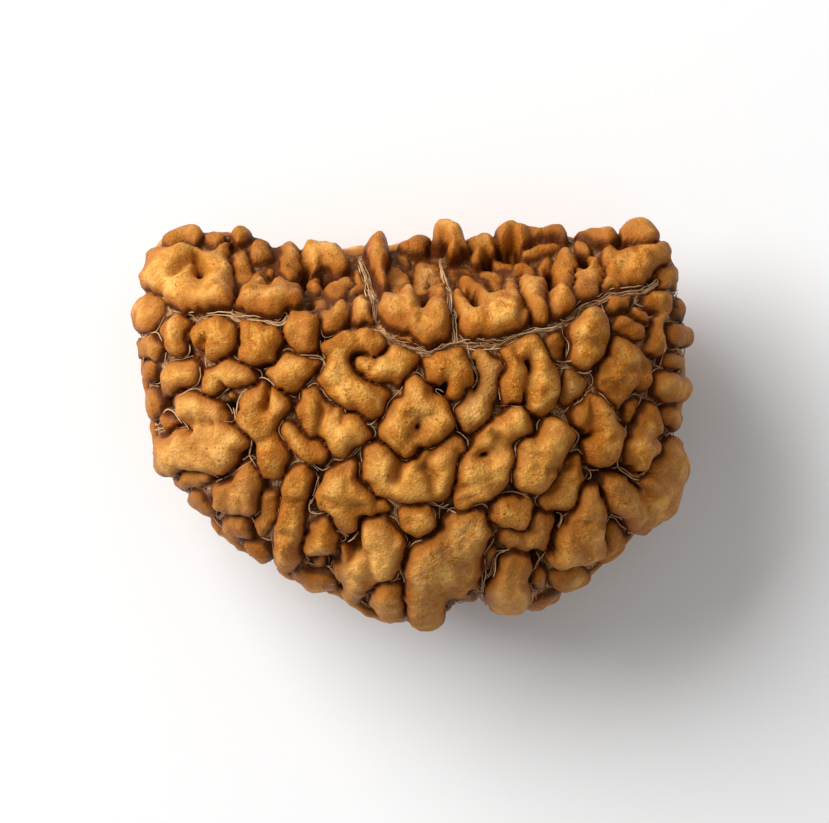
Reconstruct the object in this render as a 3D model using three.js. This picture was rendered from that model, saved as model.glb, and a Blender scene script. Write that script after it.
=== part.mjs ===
// A one-faced rudraksha seed: the woody, half-moon stone of the fruit, dried and lying on its back.
// Millimetres, +Z up. X runs along the straight side, Y across it, and Z through the seed's thickness.
// The stone is one grown body. A smooth core carries its lobes, which stand up like kneaded dough and
// press on each other along narrow furrows. Each lobe is a stroke over the core, wide and narrow by turns.

import * as THREE from "three";
import { ConvexHull } from "three/addons/math/ConvexHull.js";

// The core, which is the floor of the furrows: a D in plan, domed on both broad faces.
const CORE_CENTRE = [0, 1.0, 7.7];
const CORE_FRONT = { depth: 6.6, fullness: 2.1 };
const CORE_BACK = { depth: 6.7, fullness: 2.5 };

// The stone's box is centred on the origin, and its lowest lobes are worn flat at z = 0.
const PLACE = [0.008, 0.081, 0];

// Plan of the core, anticlockwise from the right: [x, y].
const CORE_PLAN = [
  [13.75, 2.2], [14.05, 4.8], [13.8, 7.2], [13.2, 9.2], [12.0, 10.5], [10.2, 10.1], [8.2, 9.7], [5.3, 9.6],
  [1.9, 9.4], [-1.5, 8.9], [-5.0, 8.7], [-7.2, 9.1], [-8.9, 10.15], [-10.3, 10.7], [-12.1, 10.6],
  [-13.4, 9.4], [-13.9, 7.2], [-14.3, 5.0], [-13.75, 2.7], [-13.35, 0.2], [-12.8, -2.0], [-11.8, -3.4],
  [-9.8, -5.2], [-7.7, -6.8], [-4.9, -8.1], [-3.6, -8.3], [-2.3, -9.3], [0.6, -9.9], [3.1, -8.8], [5.3, -9.3],
  [8.2, -8.1], [10.4, -6.5], [12.3, -4.8], [13.5, -2.9], [13.4, -0.3],
];

// The narrow face along the straight side leans back from its front rim, and is hollow along its middle.
const FACE_RIM = [5.2, 13.9];
const FACE_LEAN = 54;
const FACE_BLEND = 1.4;
const FACE_HOLLOW = { y: 7.9, z: 10.8, reach: 2.2, depth: 0.8 };

// Below its widest line the straight side leans in, under the narrow face.
const WAIST = [11.2, 8.0];
const TUCK_LEAN = 55;

// Lobes: how far they stand up, their round shoulders, and the furrows between them.
const LOBE_HEIGHT = 1.0;
const LOBE_HEIGHT_BY_WIDTH = 0.6;
const SHOULDER_SHARE = 0.85;
const SHOULDER_FULLNESS = 2.0;
const SHOULDER_REACH = 0.45;
const LOBE_REACH = 0.6;
const FURROW_HALF_WIDTH = 0.075;
const FURROW_FLOOR = 0.1;
const CORNER_BLEND = 0.5;

// On the straight side the lobes press together: more reach, tighter furrows and a higher floor.
const FUSED = { reach: 0.5, halfWidth: -0.04, floor: 0.45 };

// What shows on the front: a lobe's top stands this far off the core, and fades below the widest line.
const SEEN = { lobeDepth: 0.85, underFrom: 0.5, underShare: 0.8 };

// Lobes of the front and of the straight side: what each adds to its height, then its strokes.
// A stroke's points are [x, y, half-width], seen square on to the front.
const FRONT_LOBES = [
  // The straight side, left part.
  [0.2, [[-11.9, 9.0, 0.5], [-12.6, 9.0, 0.62], [-13.4, 8.7, 0.75], [-13.5, 7.8, 0.8], [-13.0, 7.1, 0.75],
    [-12.0, 6.75, 0.7], [-11.0, 6.8, 0.75], [-10.3, 7.0, 0.75], [-10.4, 7.9, 0.75], [-10.7, 8.5, 0.6]],
  [[-10.3, 8.8, 0.45], [-10.15, 9.3, 0.3]], [[-12.2, 7.6, 0.6], [-12.1, 7.2, 0.6]]],
  [0.15, [[-13.1, 9.8, 0.45], [-12.5, 10.1, 0.5], [-11.7, 10.1, 0.5]]],
  [0.15, [[-10.7, 10.35, 0.38], [-10.75, 9.8, 0.38]]],
  [0.3, [[-9.6, 10.3, 0.42], [-9.3, 9.9, 0.45]]],
  [0.1, [[-8.6, 9.4, 0.4], [-8.2, 8.95, 0.45]]],
  [0, [[-9.2, 9.1, 0.42], [-9.3, 8.5, 0.48], [-9.2, 7.8, 0.38], [-9.2, 7.4, 0.25]]],
  [-0.1, [[-7.7, 8.4, 0.3], [-7.75, 8.2, 0.3]]],
  [0.25, [[-6.75, 9.2, 0.45], [-6.85, 8.5, 0.45], [-6.8, 7.9, 0.35]]],
  [0.25, [[-8.15, 7.7, 0.42], [-8.3, 7.0, 0.7], [-8.5, 6.4, 0.75]],
    [[-7.15, 7.5, 0.4], [-7.1, 6.8, 0.65], [-7.4, 6.3, 0.7]], [[-7.1, 6.6, 0.5], [-6.4, 6.6, 0.4]]],
  [0.35, [[-5.5, 8.7, 0.36], [-5.2, 9.2, 0.42], [-4.6, 9.1, 0.42], [-4.1, 8.8, 0.45], [-3.7, 8.4, 0.36]]],
  [-0.3, [[-3.5, 9.0, 0.2], [-3.0, 8.6, 0.2]]],
  [-0.2, [[-5.2, 7.43, 0.33], [-5.1, 7.4, 0.33]]],
  [0.1, [[-4.4, 7.1, 0.4], [-3.8, 7.1, 0.45], [-3.5, 7.7, 0.3]]],
  [0, [[-3.1, 8.2, 0.28], [-3.0, 7.6, 0.32], [-3.2, 7.0, 0.35]]],
  [0.1, [[-2.75, 6.4, 0.45], [-2.65, 5.7, 0.58]]],
  [-0.5, [[-5.3, 6.6, 0.3], [-4.9, 6.6, 0.38]]],
  [0.1, [[-3.9, 5.8, 0.5], [-4.3, 5.4, 0.6]], [[-4.3, 5.6, 0.4], [-5.0, 5.9, 0.25]]],
  // The straight side, middle part.
  [0.8, [[-1.95, 9.35, 0.5], [-2.1, 8.95, 0.42], [-2.0, 8.3, 0.32]],
    [[-1.65, 8.9, 0.28], [-1.65, 8.1, 0.38], [-1.6, 7.4, 0.4]]],
  [-0.1, [[-1.1, 8.2, 0.36], [-1.0, 7.5, 0.42]]],
  [0.3, [[-0.4, 9.4, 0.4], [0.2, 9.35, 0.42]]],
  [-0.1, [[-0.6, 9.0, 0.3], [-0.55, 8.95, 0.3]]],
  [-0.5, [[0.4, 8.4, 0.4], [0.9, 8.4, 0.45], [0.6, 7.6, 0.4]]],
  [0, [[1.3, 6.9, 0.45], [1.25, 6.85, 0.45]]],
  [0.45, [[-1.1, 5.9, 0.6], [0, 5.6, 0.85], [1.2, 5.0, 0.8]], [[1.2, 5.0, 0.6], [1.3, 5.7, 0.5]]],
  // The straight side, right part.
  [0.9, [[1.85, 10.2, 0.5], [1.9, 9.5, 0.5], [2.2, 8.9, 0.42]], [[2.4, 9.8, 0.38], [2.65, 9.2, 0.3]]],
  [0.2, [[3.3, 9.6, 0.45], [3.9, 9.4, 0.48]], [[3.4, 9.5, 0.3], [3.3, 8.8, 0.35]]],
  [0.75, [[5.2, 10.3, 0.6], [5.3, 9.8, 0.5], [6.2, 10.0, 0.45], [7.3, 10.3, 0.6], [7.9, 10.1, 0.45]]],
  [0.1, [[6.2, 9.2, 0.28], [7.2, 9.3, 0.36], [8.1, 9.5, 0.28]]],
  [-0.1, [[7.2, 8.75, 0.3], [7.0, 8.4, 0.3]]],
  [0, [[2.9, 7.7, 0.32], [3.5, 7.4, 0.42]]],
  [-0.3, [[2.2, 8.2, 0.16], [2.65, 8.4, 0.16], [3.3, 8.1, 0.16]]],
  [-0.4, [[3.7, 8.2, 0.3], [4.3, 8.0, 0.38], [4.5, 7.7, 0.3]]],
  [-0.3, [[4.5, 8.6, 0.2], [5.0, 8.5, 0.25]]],
  [-0.1, [[5.4, 8.3, 0.25], [6.3, 8.35, 0.28]]],
  [-0.5, [[4.8, 7.4, 0.2], [4.3, 6.9, 0.2]]],
  [0.45, [[2.9, 5.2, 0.62], [4.2, 5.2, 0.75], [5.3, 5.5, 0.7]],
    [[2.5, 6.3, 0.35], [3.1, 6.75, 0.22], [4.2, 6.4, 0.32], [4.7, 6.4, 0.3]],
    [[5.3, 5.7, 0.4], [5.2, 6.6, 0.4], [5.45, 7.3, 0.32]]],
  [0.35, [[5.95, 7.5, 0.4], [6.4, 6.8, 0.55], [6.8, 6.1, 0.7]]],
  [0.3, [[8.25, 9.0, 0.45], [8.0, 8.2, 0.5], [8.3, 7.4, 0.65], [8.0, 6.6, 0.7], [7.5, 6.2, 0.6]]],
  [0.2, [[9.75, 8.8, 0.38], [9.6, 8.0, 0.55], [9.1, 7.6, 0.65], [8.9, 7.1, 0.6]]],
  [0, [[8.8, 9.6, 0.35], [9.5, 9.3, 0.35]]],
  [0.5, [[9.2, 10.2, 0.45], [10.0, 10.1, 0.5], [10.6, 9.8, 0.5]]],
  [0.35, [[11.4, 10.2, 0.5], [12.1, 10.3, 0.65], [12.7, 9.9, 0.5]]],
  [0.25, [[13.1, 9.2, 0.48], [12.3, 8.9, 0.7], [11.5, 8.3, 0.75], [11.0, 7.8, 0.55]],
    [[10.6, 9.1, 0.42], [10.6, 8.3, 0.45], [10.7, 7.6, 0.4]]],
  [0, [[14.0, 8.2, 0.25], [13.7, 7.7, 0.4]]],
  // The broad front, left part.
  [-0.1, [[-13.9, 6.4, 0.45], [-14.2, 5.8, 0.7], [-14.3, 5.2, 0.6]]],
  [0, [[-12.7, 5.3, 0.6], [-12.7, 4.3, 0.65]], [[-12.8, 4.8, 0.5], [-13.4, 4.8, 0.4]]],
  [0, [[-11.5, 4.6, 0.55], [-10.7, 4.9, 0.75], [-10.3, 4.4, 0.75], [-10.5, 3.7, 0.55]]],
  [0.1, [[-8.6, 4.9, 0.7], [-7.9, 4.6, 0.75], [-8.3, 3.9, 0.75]]],
  [0, [[-6.4, 5.2, 0.65], [-5.6, 4.9, 0.9], [-5.7, 4.5, 0.8]]],
  [0, [[-14.3, 4.5, 0.5], [-14.2, 3.8, 0.45]]],
  [0, [[-14.2, 3.1, 0.35], [-14.2, 2.4, 0.4]]],
  [0, [[-13.2, 2.2, 0.65], [-12.6, 2.4, 0.8], [-12.0, 2.7, 0.65]]],
  [-0.3, [[-11.65, 3.6, 0.25], [-11.6, 3.55, 0.25]]],
  [0, [[-10.8, 1.9, 0.45], [-10.7, 2.4, 0.6], [-9.9, 2.65, 0.7], [-9.1, 2.4, 0.6]]],
  [-0.3, [[-9.85, 1.5, 0.25], [-9.8, 1.45, 0.25]]],
  [0, [[-12.1, 1.0, 0.7], [-11.3, 0.8, 0.75], [-10.5, 0.6, 0.6]],
    [[-12.9, -0.9, 0.7], [-12.6, -1.9, 0.9], [-11.4, -1.8, 0.8], [-10.4, -1.5, 0.95], [-11.0, -0.6, 0.8]],
    [[-10.4, -1.2, 0.5], [-9.6, -0.9, 0.55]]],
  [0, [[-14.0, 1.9, 0.35], [-14.0, 1.1, 0.4], [-13.8, 0.5, 0.4]]],
  [0, [[-13.5, 0.2, 0.45], [-13.1, -0.2, 0.45]]],
  [-0.1, [[-12.4, -3.0, 0.4], [-11.2, -3.0, 0.35]]],
  [0.1, [[-8.7, -3.0, 0.65], [-8.8, -3.8, 0.85], [-9.6, -4.2, 0.75], [-10.4, -4.2, 0.6]]],
  [-0.1, [[-11.6, -4.1, 0.35], [-10.9, -4.7, 0.3]]],
  [0, [[-9.7, -5.5, 0.4], [-9.0, -6.0, 0.5]]],
  [0, [[-8.6, -6.5, 0.5], [-8.1, -6.9, 0.45]]],
  [0, [[-7.6, -4.0, 0.35], [-7.9, -5.0, 0.45], [-8.1, -5.7, 0.5]]],
  [0.1, [[-8.5, 1.4, 0.65], [-8.6, 0.5, 0.75], [-8.2, -0.3, 0.7], [-7.8, -1.0, 0.6], [-7.4, -1.9, 0.75],
    [-7.3, -2.4, 0.55]], [[-7.3, 1.5, 0.5], [-7.2, 0.8, 0.65], [-7.6, 0.1, 0.6]]],
  [0.1, [[-7.1, 2.5, 0.5], [-6.5, 2.8, 0.75], [-5.8, 3.0, 0.6]], [[-6.4, 2.5, 0.5], [-6.3, 2.1, 0.5]]],
  [0.25, [[-4.4, 4.0, 0.55], [-4.0, 3.5, 0.6], [-4.1, 2.6, 0.8], [-3.5, 1.8, 0.9], [-2.6, 1.4, 0.85],
    [-2.1, 1.0, 0.75]], [[-4.3, 3.9, 0.5], [-3.7, 4.3, 0.5], [-2.9, 4.55, 0.42], [-2.2, 4.3, 0.65]]],
  [0.1, [[-2.6, 2.95, 0.42], [-1.8, 2.8, 0.65], [-0.9, 2.9, 0.75], [-0.5, 3.6, 0.7], [-0.5, 4.1, 0.5]]],
  [0.1, [[-5.4, 1.1, 0.55], [-5.6, 0.5, 0.65], [-5.4, -0.1, 0.5]],
    [[-4.6, 0.5, 0.4], [-4.4, -0.3, 0.6], [-3.9, -0.8, 0.8], [-3.2, -0.4, 0.8]],
    [[-4.3, 0, 0.3], [-4.1, 0.6, 0.28]]],
  [0, [[-6.5, -0.4, 0.45], [-6.0, -1.1, 0.65], [-5.2, -1.7, 0.55]]],
  [0.1, [[-6.0, -2.7, 0.5], [-6.4, -3.6, 0.6], [-6.5, -4.8, 0.7], [-6.9, -5.9, 0.65], [-7.0, -6.8, 0.6],
    [-6.5, -7.5, 0.45]]],
  [0.15, [[-3.4, -2.6, 0.55], [-3.7, -3.5, 0.95], [-4.3, -4.2, 0.85], [-4.0, -4.8, 0.7],
  [-3.4, -5.1, 0.45]],
    [[-3.5, -3.7, 0.7], [-2.9, -3.9, 0.7], [-2.2, -4.4, 0.5], [-1.5, -4.5, 0.45]]],
  [0, [[-4.6, -5.4, 0.5], [-4.9, -6.3, 0.75], [-5.3, -6.6, 0.5]]],
  [-0.2, [[-5.1, -7.6, 0.3], [-5.0, -7.55, 0.3]]],
  [0, [[-6.0, -8.2, 0.4], [-5.2, -8.5, 0.45], [-4.5, -8.5, 0.4]]],
  [0.2, [[-2.0, -1.7, 0.6], [-1.8, -2.5, 0.85], [-1.5, -3.4, 0.65], [-0.5, -3.6, 0.65], [0.4, -3.5, 0.75],
    [1.2, -3.3, 0.7], [1.6, -2.4, 0.6], [1.7, -1.7, 0.6], [0.9, -1.7, 0.5]],
  [[1.8, -1.5, 0.4], [2.2, -1.1, 0.3]], [[-0.1, -3.2, 0.5], [-0.1, -2.7, 0.55]]],
  [0.1, [[-1.9, -5.6, 0.7], [-1.5, -6.6, 0.85], [-1.6, -7.5, 0.9], [-2.6, -7.9, 0.9], [-3.5, -7.7, 0.75]],
    [[-2.9, -8.1, 0.6], [-3.1, -8.6, 0.6]]],
  [0.1, [[-0.1, -4.9, 0.65], [0.4, -5.1, 0.7]]],
  [0, [[-1.3, -9.2, 0.8], [-1.0, -9.9, 0.6]]],
  // The broad front, middle and right part.
  [0.1, [[1.1, 3.0, 0.6], [1.9, 3.2, 0.95], [2.3, 2.6, 0.9], [2.1, 1.8, 0.6]]],
  [0.25, [[0, 1.9, 0.5], [0.4, 1.4, 0.6], [0.3, 1.0, 0.7], [-0.9, 0.4, 0.75], [-0.6, -0.5, 0.95],
    [0.2, -0.8, 0.7]], [[0.4, 1.1, 0.6], [1.4, 0.9, 0.6], [1.3, 0.1, 0.8], [1.3, -0.5, 0.65]]],
  [-0.2, [[3.6, 3.6, 0.4], [4.2, 2.8, 0.5], [4.0, 2.0, 0.45], [3.4, 1.2, 0.6], [3.1, 0.4, 0.78]]],
  [0.2, [[5.1, 3.6, 0.45], [5.3, 2.8, 0.5], [5.3, 1.8, 0.58], [5.3, 1.5, 0.5]],
    [[5.1, 3.7, 0.4], [5.4, 4.0, 0.4], [6.2, 4.4, 0.45], [6.8, 4.1, 0.55], [6.9, 3.0, 0.62],
      [6.8, 2.0, 0.72], [6.7, 1.2, 0.72]]],
  [-0.1, [[7.45, 4.5, 0.3], [7.5, 3.4, 0.3]]],
  [0.2, [[9.6, 5.5, 0.6], [9.2, 4.6, 0.95], [9.1, 3.8, 0.75]]],
  [0.1, [[5.5, 0.1, 0.65], [4.9, -0.3, 0.7], [4.4, -0.9, 0.6], [3.7, -1.3, 0.65], [3.5, -2.3, 0.95],
    [3.6, -3.2, 0.8], [2.7, -3.9, 0.58]], [[3.8, -2.1, 0.7], [4.5, -2.0, 0.8], [4.2, -2.9, 0.7]]],
  [-0.3, [[8.6, 2.1, 0.55], [8.3, 1.3, 0.5]]],
  [0.1, [[11.2, 4.0, 0.4], [11.8, 3.3, 0.8], [11.9, 2.6, 0.75], [10.7, 2.5, 0.75], [10.8, 1.6, 0.6],
    [11.0, 0.8, 0.4]]],
  [0.2, [[9.0, 0.7, 0.6], [10.1, 0.5, 0.85], [10.3, -0.6, 0.8], [9.9, -1.4, 0.8]]],
  [-0.1, [[11.7, 0.9, 0.4], [11.6, 0.3, 0.3]]],
  [0.1, [[12.5, 0.4, 0.5], [12.6, -0.4, 0.75], [12.3, -1.4, 0.9], [12.1, -2.2, 0.6]]],
  [0.25, [[13.4, 2.1, 0.6], [13.9, 1.8, 0.6]]],
  [0, [[13.7, 3.4, 0.42], [13.75, 3.3, 0.42]]],
  [0, [[13.9, 0.4, 0.5], [13.95, 0.3, 0.5]]],
  [0.15, [[7.6, -0.5, 0.75], [7.1, -1.4, 1.0], [6.5, -2.5, 1.0], [6.3, -2.9, 0.95]]],
  [-0.1, [[8.5, -2.2, 0.3], [8.5, -3.0, 0.45], [8.1, -3.9, 0.65], [7.3, -4.2, 0.6]]],
  [0, [[5.1, -4.8, 0.85], [5.6, -5.0, 0.85]]],
  [-0.2, [[6.9, -5.1, 0.5], [6.7, -6.1, 0.7], [6.1, -6.5, 0.6], [5.0, -6.2, 0.5]]],
  [0, [[2.9, -5.8, 1.1], [2.4, -6.8, 1.3], [1.3, -7.5, 1.4], [1.0, -8.5, 1.4], [0.5, -9.5, 1.1]],
    [[2.6, -6.6, 1.3], [2.4, -7.9, 1.25], [2.1, -8.7, 1.1]]],
  [-0.1, [[2.2, -9.4, 0.5], [2.8, -9.3, 0.4]]],
  [-0.3, [[4.4, -7.0, 0.25], [3.9, -7.8, 0.35]]],
  [0, [[5.4, -7.6, 0.7], [5.0, -8.6, 1.05], [5.3, -9.2, 1.0]]],
  [0, [[6.8, -8.5, 0.4], [6.85, -8.4, 0.4]]],
  [0.15, [[9.6, -3.9, 0.5], [9.6, -4.6, 0.8], [9.4, -5.6, 1.1], [9.0, -6.4, 1.2], [8.0, -6.9, 0.8]]],
  [-0.1, [[7.7, -8.4, 0.5], [8.8, -8.3, 0.55]]],
  [-0.1, [[10.75, -5.7, 0.35], [10.65, -6.5, 0.4], [10.2, -7.3, 0.3]]],
  [0.1, [[13.8, -1.4, 0.5], [13.6, -2.6, 0.85], [13.2, -3.5, 0.95], [12.6, -4.3, 0.85], [11.9, -4.7, 0.7]],
    [[10.7, -3.4, 0.55], [11.1, -4.0, 0.75], [11.7, -4.6, 0.65]]],
  [0, [[10.9, 6.3, 0.4], [11.5, 6.4, 0.42]]],
  [0, [[12.0, 6.1, 0.45], [12.5, 5.6, 0.45]]],
  [0, [[12.7, 6.7, 0.4], [13.4, 6.5, 0.55], [13.6, 6.0, 0.5], [13.3, 5.6, 0.45], [13.1, 4.8, 0.5],
    [12.9, 4.0, 0.5]]],
  [-0.1, [[11.3, 5.4, 0.5], [12.0, 5.0, 0.5]]],
  [0, [[14.4, 6.3, 0.3], [14.3, 5.7, 0.35]]],
  [0.1, [[14.2, 5.2, 0.4], [14.4, 4.8, 0.5]]],
];

// Deep holes and slits that the lobes leave open, from end to end: [x, y, x, y, half-width, depth].
const PITS = [
  [-11.6, 8.25, -11.35, 7.75, 0.1, 0.8], [-5.85, 7.6, -5.85, 8.6, 0.16, 1.6],
  [-4.9, 7.8, -4.25, 7.85, 0.2, 1.5], [-5.6, 6.8, -5.4, 6.6, 0.2, 1.0], [0.6, 6.3, 0.8, 6.8, 0.22, 1.2],
  [0.85, 7.75, 1.25, 7.75, 0.12, 0.9], [2.3, 7.4, 2.05, 6.9, 0.2, 1.4], [2.25, 5.4, 2.3, 5.9, 0.15, 0.9],
  [3.0, 6.7, 3.3, 6.25, 0.2, 1.2], [2.9, 7.1, 3.0, 7.05, 0.15, 0.8], [3.9, 8.9, 4.1, 8.8, 0.2, 1.2],
  [4.8, 9.1, 5.4, 9.1, 0.25, 1.3], [7.35, 8.1, 7.4, 7.3, 0.25, 1.6], [9.2, 8.7, 9.15, 8.4, 0.2, 1.2],
  [12.5, 5.1, 12.7, 4.95, 0.15, 0.9], [-13.2, 1.1, -13.0, 0.8, 0.17, 0.8],
  [-9.85, 0.85, -9.6, 0.6, 0.18, 0.9], [-9.0, -1.7, -8.8, -1.3, 0.15, 0.8],
  [-5.2, -2.4, -5.0, -3.0, 0.18, 0.9], [-5.45, -4.1, -5.35, -4.7, 0.2, 0.9],
  [-3.2, -6.2, -3.0, -6.6, 0.35, 0.5], [1.3, 1.7, 1.5, 2.0, 0.15, 0.8], [6.0, 3.3, 6.02, 1.0, 0.12, 0.8],
  [11.8, 1.7, 12.0, 1.45, 0.15, 0.8], [9.0, -0.8, 9.35, -0.65, 0.12, 0.8],
  [6.5, -7.3, 6.7, -7.8, 0.28, 1.0], [7.7, -5.3, 7.4, -6.2, 0.2, 0.9], [10.8, -5.2, 11.2, -5.4, 0.2, 0.9],
  [9.4, -2.7, 9.6, -2.9, 0.2, 0.8], [10.3, -2.4, 12.8, -2.8, 0.1, 0.6],
  [10.05, -3.5, 10.15, -3.95, 0.12, 0.8], [13.2, -0.9, 13.4, -0.7, 0.12, 0.8],
  [13.1, 7.9, 12.1, 6.95, 0.12, 0.6], [4.7, -7.4, 3.6, -8.8, 0.12, 0.6], [3.3, 3.4, 3.25, 1.7, 0.1, 0.5],
  [0.2, -0.35, 0.36, -0.3, 0.1, 0.5], [3.75, -1.65, 3.85, -1.75, 0.1, 0.5],
  [-11.95, -0.5, -11.85, -0.45, 0.1, 0.5],
];

// Shallow creases across lobes, from end to end: [x, y, x, y, half-width, depth].
const CREASES = [
  [-11.5, 8.7, -11.9, 9.4, 0.3, 0.4], [-12.7, 7.6, -11.7, 8.2, 0.3, 0.5],
  [-11.2, 7.5, -11.5, 7.0, 0.3, 0.25], [-7.75, 7.6, -7.8, 6.8, 0.25, 0.4],
  [-4.2, 1.9, -3.6, 2.5, 0.4, 0.2], [-4.6, 3.3, -3.9, 3.1, 0.3, 0.25], [-4.7, 0.2, -4.1, -0.2, 0.25, 0.3],
  [-3.5, 0.2, -3.6, -0.4, 0.25, 0.3], [-12.4, -0.3, -11.4, -0.5, 0.3, 0.4],
  [-10.9, 0.0, -10.9, -1.0, 0.35, 0.3], [-8.5, -0.8, -7.3, -0.6, 0.35, 0.3],
  [-8.0, 1.2, -7.9, 0.4, 0.25, 0.4], [-0.4, -1.1, 0.7, -0.2, 0.35, 0.3], [-1.3, 0.9, -0.3, 0.3, 0.3, 0.25],
  [0.9, 0.5, 0.3, 0.0, 0.3, 0.3], [-0.7, -3.0, -0.9, -4.0, 0.35, 0.3], [0.9, -2.9, 1.4, -3.9, 0.35, 0.25],
  [3.2, -1.5, 4.6, -1.4, 0.35, 0.3], [4.4, -0.4, 5.3, -0.9, 0.35, 0.2], [6.2, -1.8, 7.9, -1.9, 0.4, 0.2],
  [8.6, 4.1, 9.8, 4.2, 0.4, 0.2], [11.2, 2.9, 12.4, 3.0, 0.4, 0.3], [10.2, 2.2, 10.9, 1.6, 0.3, 0.3],
  [9.3, 0.0, 10.6, -0.1, 0.35, 0.3], [12.0, -0.6, 13.0, -1.0, 0.35, 0.3],
  [12.7, -2.0, 14.0, -3.3, 0.4, 0.2], [8.4, -5.1, 9.9, -5.0, 0.4, 0.25],
  [-4.4, -4.0, -3.0, -4.4, 0.35, 0.3], [-7.2, -4.3, -6.0, -4.1, 0.35, 0.25],
  [-2.7, -7.3, -1.0, -7.0, 0.4, 0.3], [1.3, -6.5, 3.0, -7.3, 0.45, 0.2],
  [-0.1, -8.6, 1.4, -8.9, 0.5, 0.25], [5.75, 5.0, 5.7, 6.2, 0.18, 0.5], [4.1, 4.6, 4.1, 5.9, 0.3, 0.15],
  [0.6, 4.6, 0.5, 6.1, 0.4, 0.2], [12.0, 9.2, 11.2, 7.8, 0.35, 0.25],
];

// Furrows that stay open between the lobes: strokes of [x, y, half-width].
const FURROWS = [
  [[-12.0, 5.85, 0.12], [-9.7, 5.95, 0.14], [-9.3, 5.7, 0.2], [-8.2, 5.65, 0.12], [-7.1, 5.35, 0.14],
    [-6.7, 5.75, 0.12]],
  [[-3.4, 5.0, 0.12], [-1.9, 5.1, 0.2], [-1.3, 4.5, 0.16], [0, 4.0, 0.16], [0.7, 3.8, 0.16], [2.2, 4.2, 0.2],
    [3.5, 4.3, 0.25], [4.6, 4.3, 0.2], [5.5, 4.7, 0.14], [6.5, 5.0, 0.14], [7.5, 5.1, 0.14], [8.3, 5.7, 0.14],
    [9.0, 6.3, 0.16], [10.0, 6.6, 0.16], [10.6, 6.9, 0.16], [11.5, 7.1, 0.14], [12.3, 7.1, 0.14],
    [13.2, 7.6, 0.12]],
  [[-2.9, 8.8, 0.12], [-2.5, 8.0, 0.16], [-2.3, 7.2, 0.18], [-2.0, 6.6, 0.18], [-1.9, 5.4, 0.16]],
  [[1.46, 9.0, 0.14], [1.76, 7.7, 0.16], [2.05, 7.1, 0.16], [2.05, 5.95, 0.14], [2.1, 5.06, 0.14],
    [2.2, 4.3, 0.16]],
];

// Lobes of the back and the flanks are placed by rule, the largest first, wherever there is room.
const BACK_RUNS = [
  { halfWidth: 0.95, bends: 3, stride: 1.5, seats: 500, room: 0.75 },
  { halfWidth: 0.75, bends: 2, stride: 1.2, seats: 900, room: 0.75 },
  { halfWidth: 0.55, bends: 1, stride: 0.8, seats: 1600, room: 0.8 },
  { halfWidth: 0.4, bends: 1, stride: 0.4, seats: 2600, room: 0.75 },
];
const BACK_SEED = 7919;
const BACK_STARTS_BELOW = -0.2;
const BARE_GROUND = { beyondY: 5.5, fromLobes: 0.75 };
const SIDE_DROP = { height: 0.55, reach: 4.5 };
const STRAIGHT_DROP = { height: 0.5, fromZ: 3.5, reach: 2.5 };

// The faceted surface: how closely its corners stand, and the lines along the lobes that they keep to.
const CORNERS = 5900;
const CORNER_LINES = [{ off: 0, catches: 0.19 }, { off: 0.34, catches: 0.52 }];
const CORNER_ROUNDS = 7;
const CORNER_ROOM = 0.7;
const CORNER_PUSH = 0.12;

const add = (p, q, k) => [p[0] + q[0] * k, p[1] + q[1] * k, p[2] + q[2] * k];
const dot = (p, q) => p[0] * q[0] + p[1] * q[1] + p[2] * q[2];
const cross = (p, q) => [
  p[1] * q[2] - p[2] * q[1],
  p[2] * q[0] - p[0] * q[2],
  p[0] * q[1] - p[1] * q[0],
];
const distance = (p, q) => Math.hypot(p[0] - q[0], p[1] - q[1], p[2] - q[2]);
const unit = (p) => add([0, 0, 0], p, 1 / Math.hypot(...p));
const clamp = (v, low, high) => Math.min(Math.max(v, low), high);

// The larger of two values, rounded over where they are within k of each other.
function softMax(a, b, k) {
  const h = Math.max(k - Math.abs(a - b), 0) / k;
  return Math.max(a, b) + (h * h * k) / 4;
}

// Radius of the core's plan in each direction, as a smooth closed curve through CORE_PLAN.
const planSpokes = CORE_PLAN.map(([x, y]) => {
  const turn = Math.atan2(y - CORE_CENTRE[1], x - CORE_CENTRE[0]);
  return { turn, radius: Math.hypot(x - CORE_CENTRE[0], y - CORE_CENTRE[1]) };
}).sort((a, b) => a.turn - b.turn);

function planRadius(turn) {
  const n = planSpokes.length;
  let i = planSpokes.findIndex((s) => s.turn > turn);
  if (i < 0) i = n;
  const spoke = (k) => {
    const s = planSpokes[((k % n) + n) % n];
    return { turn: s.turn + 2 * Math.PI * Math.floor(k / n), radius: s.radius };
  };
  const [a, b, c, d] = [i - 2, i - 1, i, i + 1].map(spoke);
  const t = (turn - b.turn) / (c.turn - b.turn);
  const slopeB = ((c.radius - a.radius) / (c.turn - a.turn)) * (c.turn - b.turn);
  const slopeC = ((d.radius - b.radius) / (d.turn - b.turn)) * (c.turn - b.turn);
  const t2 = t * t;
  const t3 = t2 * t;
  return b.radius * (2 * t3 - 3 * t2 + 1) + slopeB * (t3 - 2 * t2 + t)
    + c.radius * (3 * t2 - 2 * t3) + slopeC * (t3 - t2);
}

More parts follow.
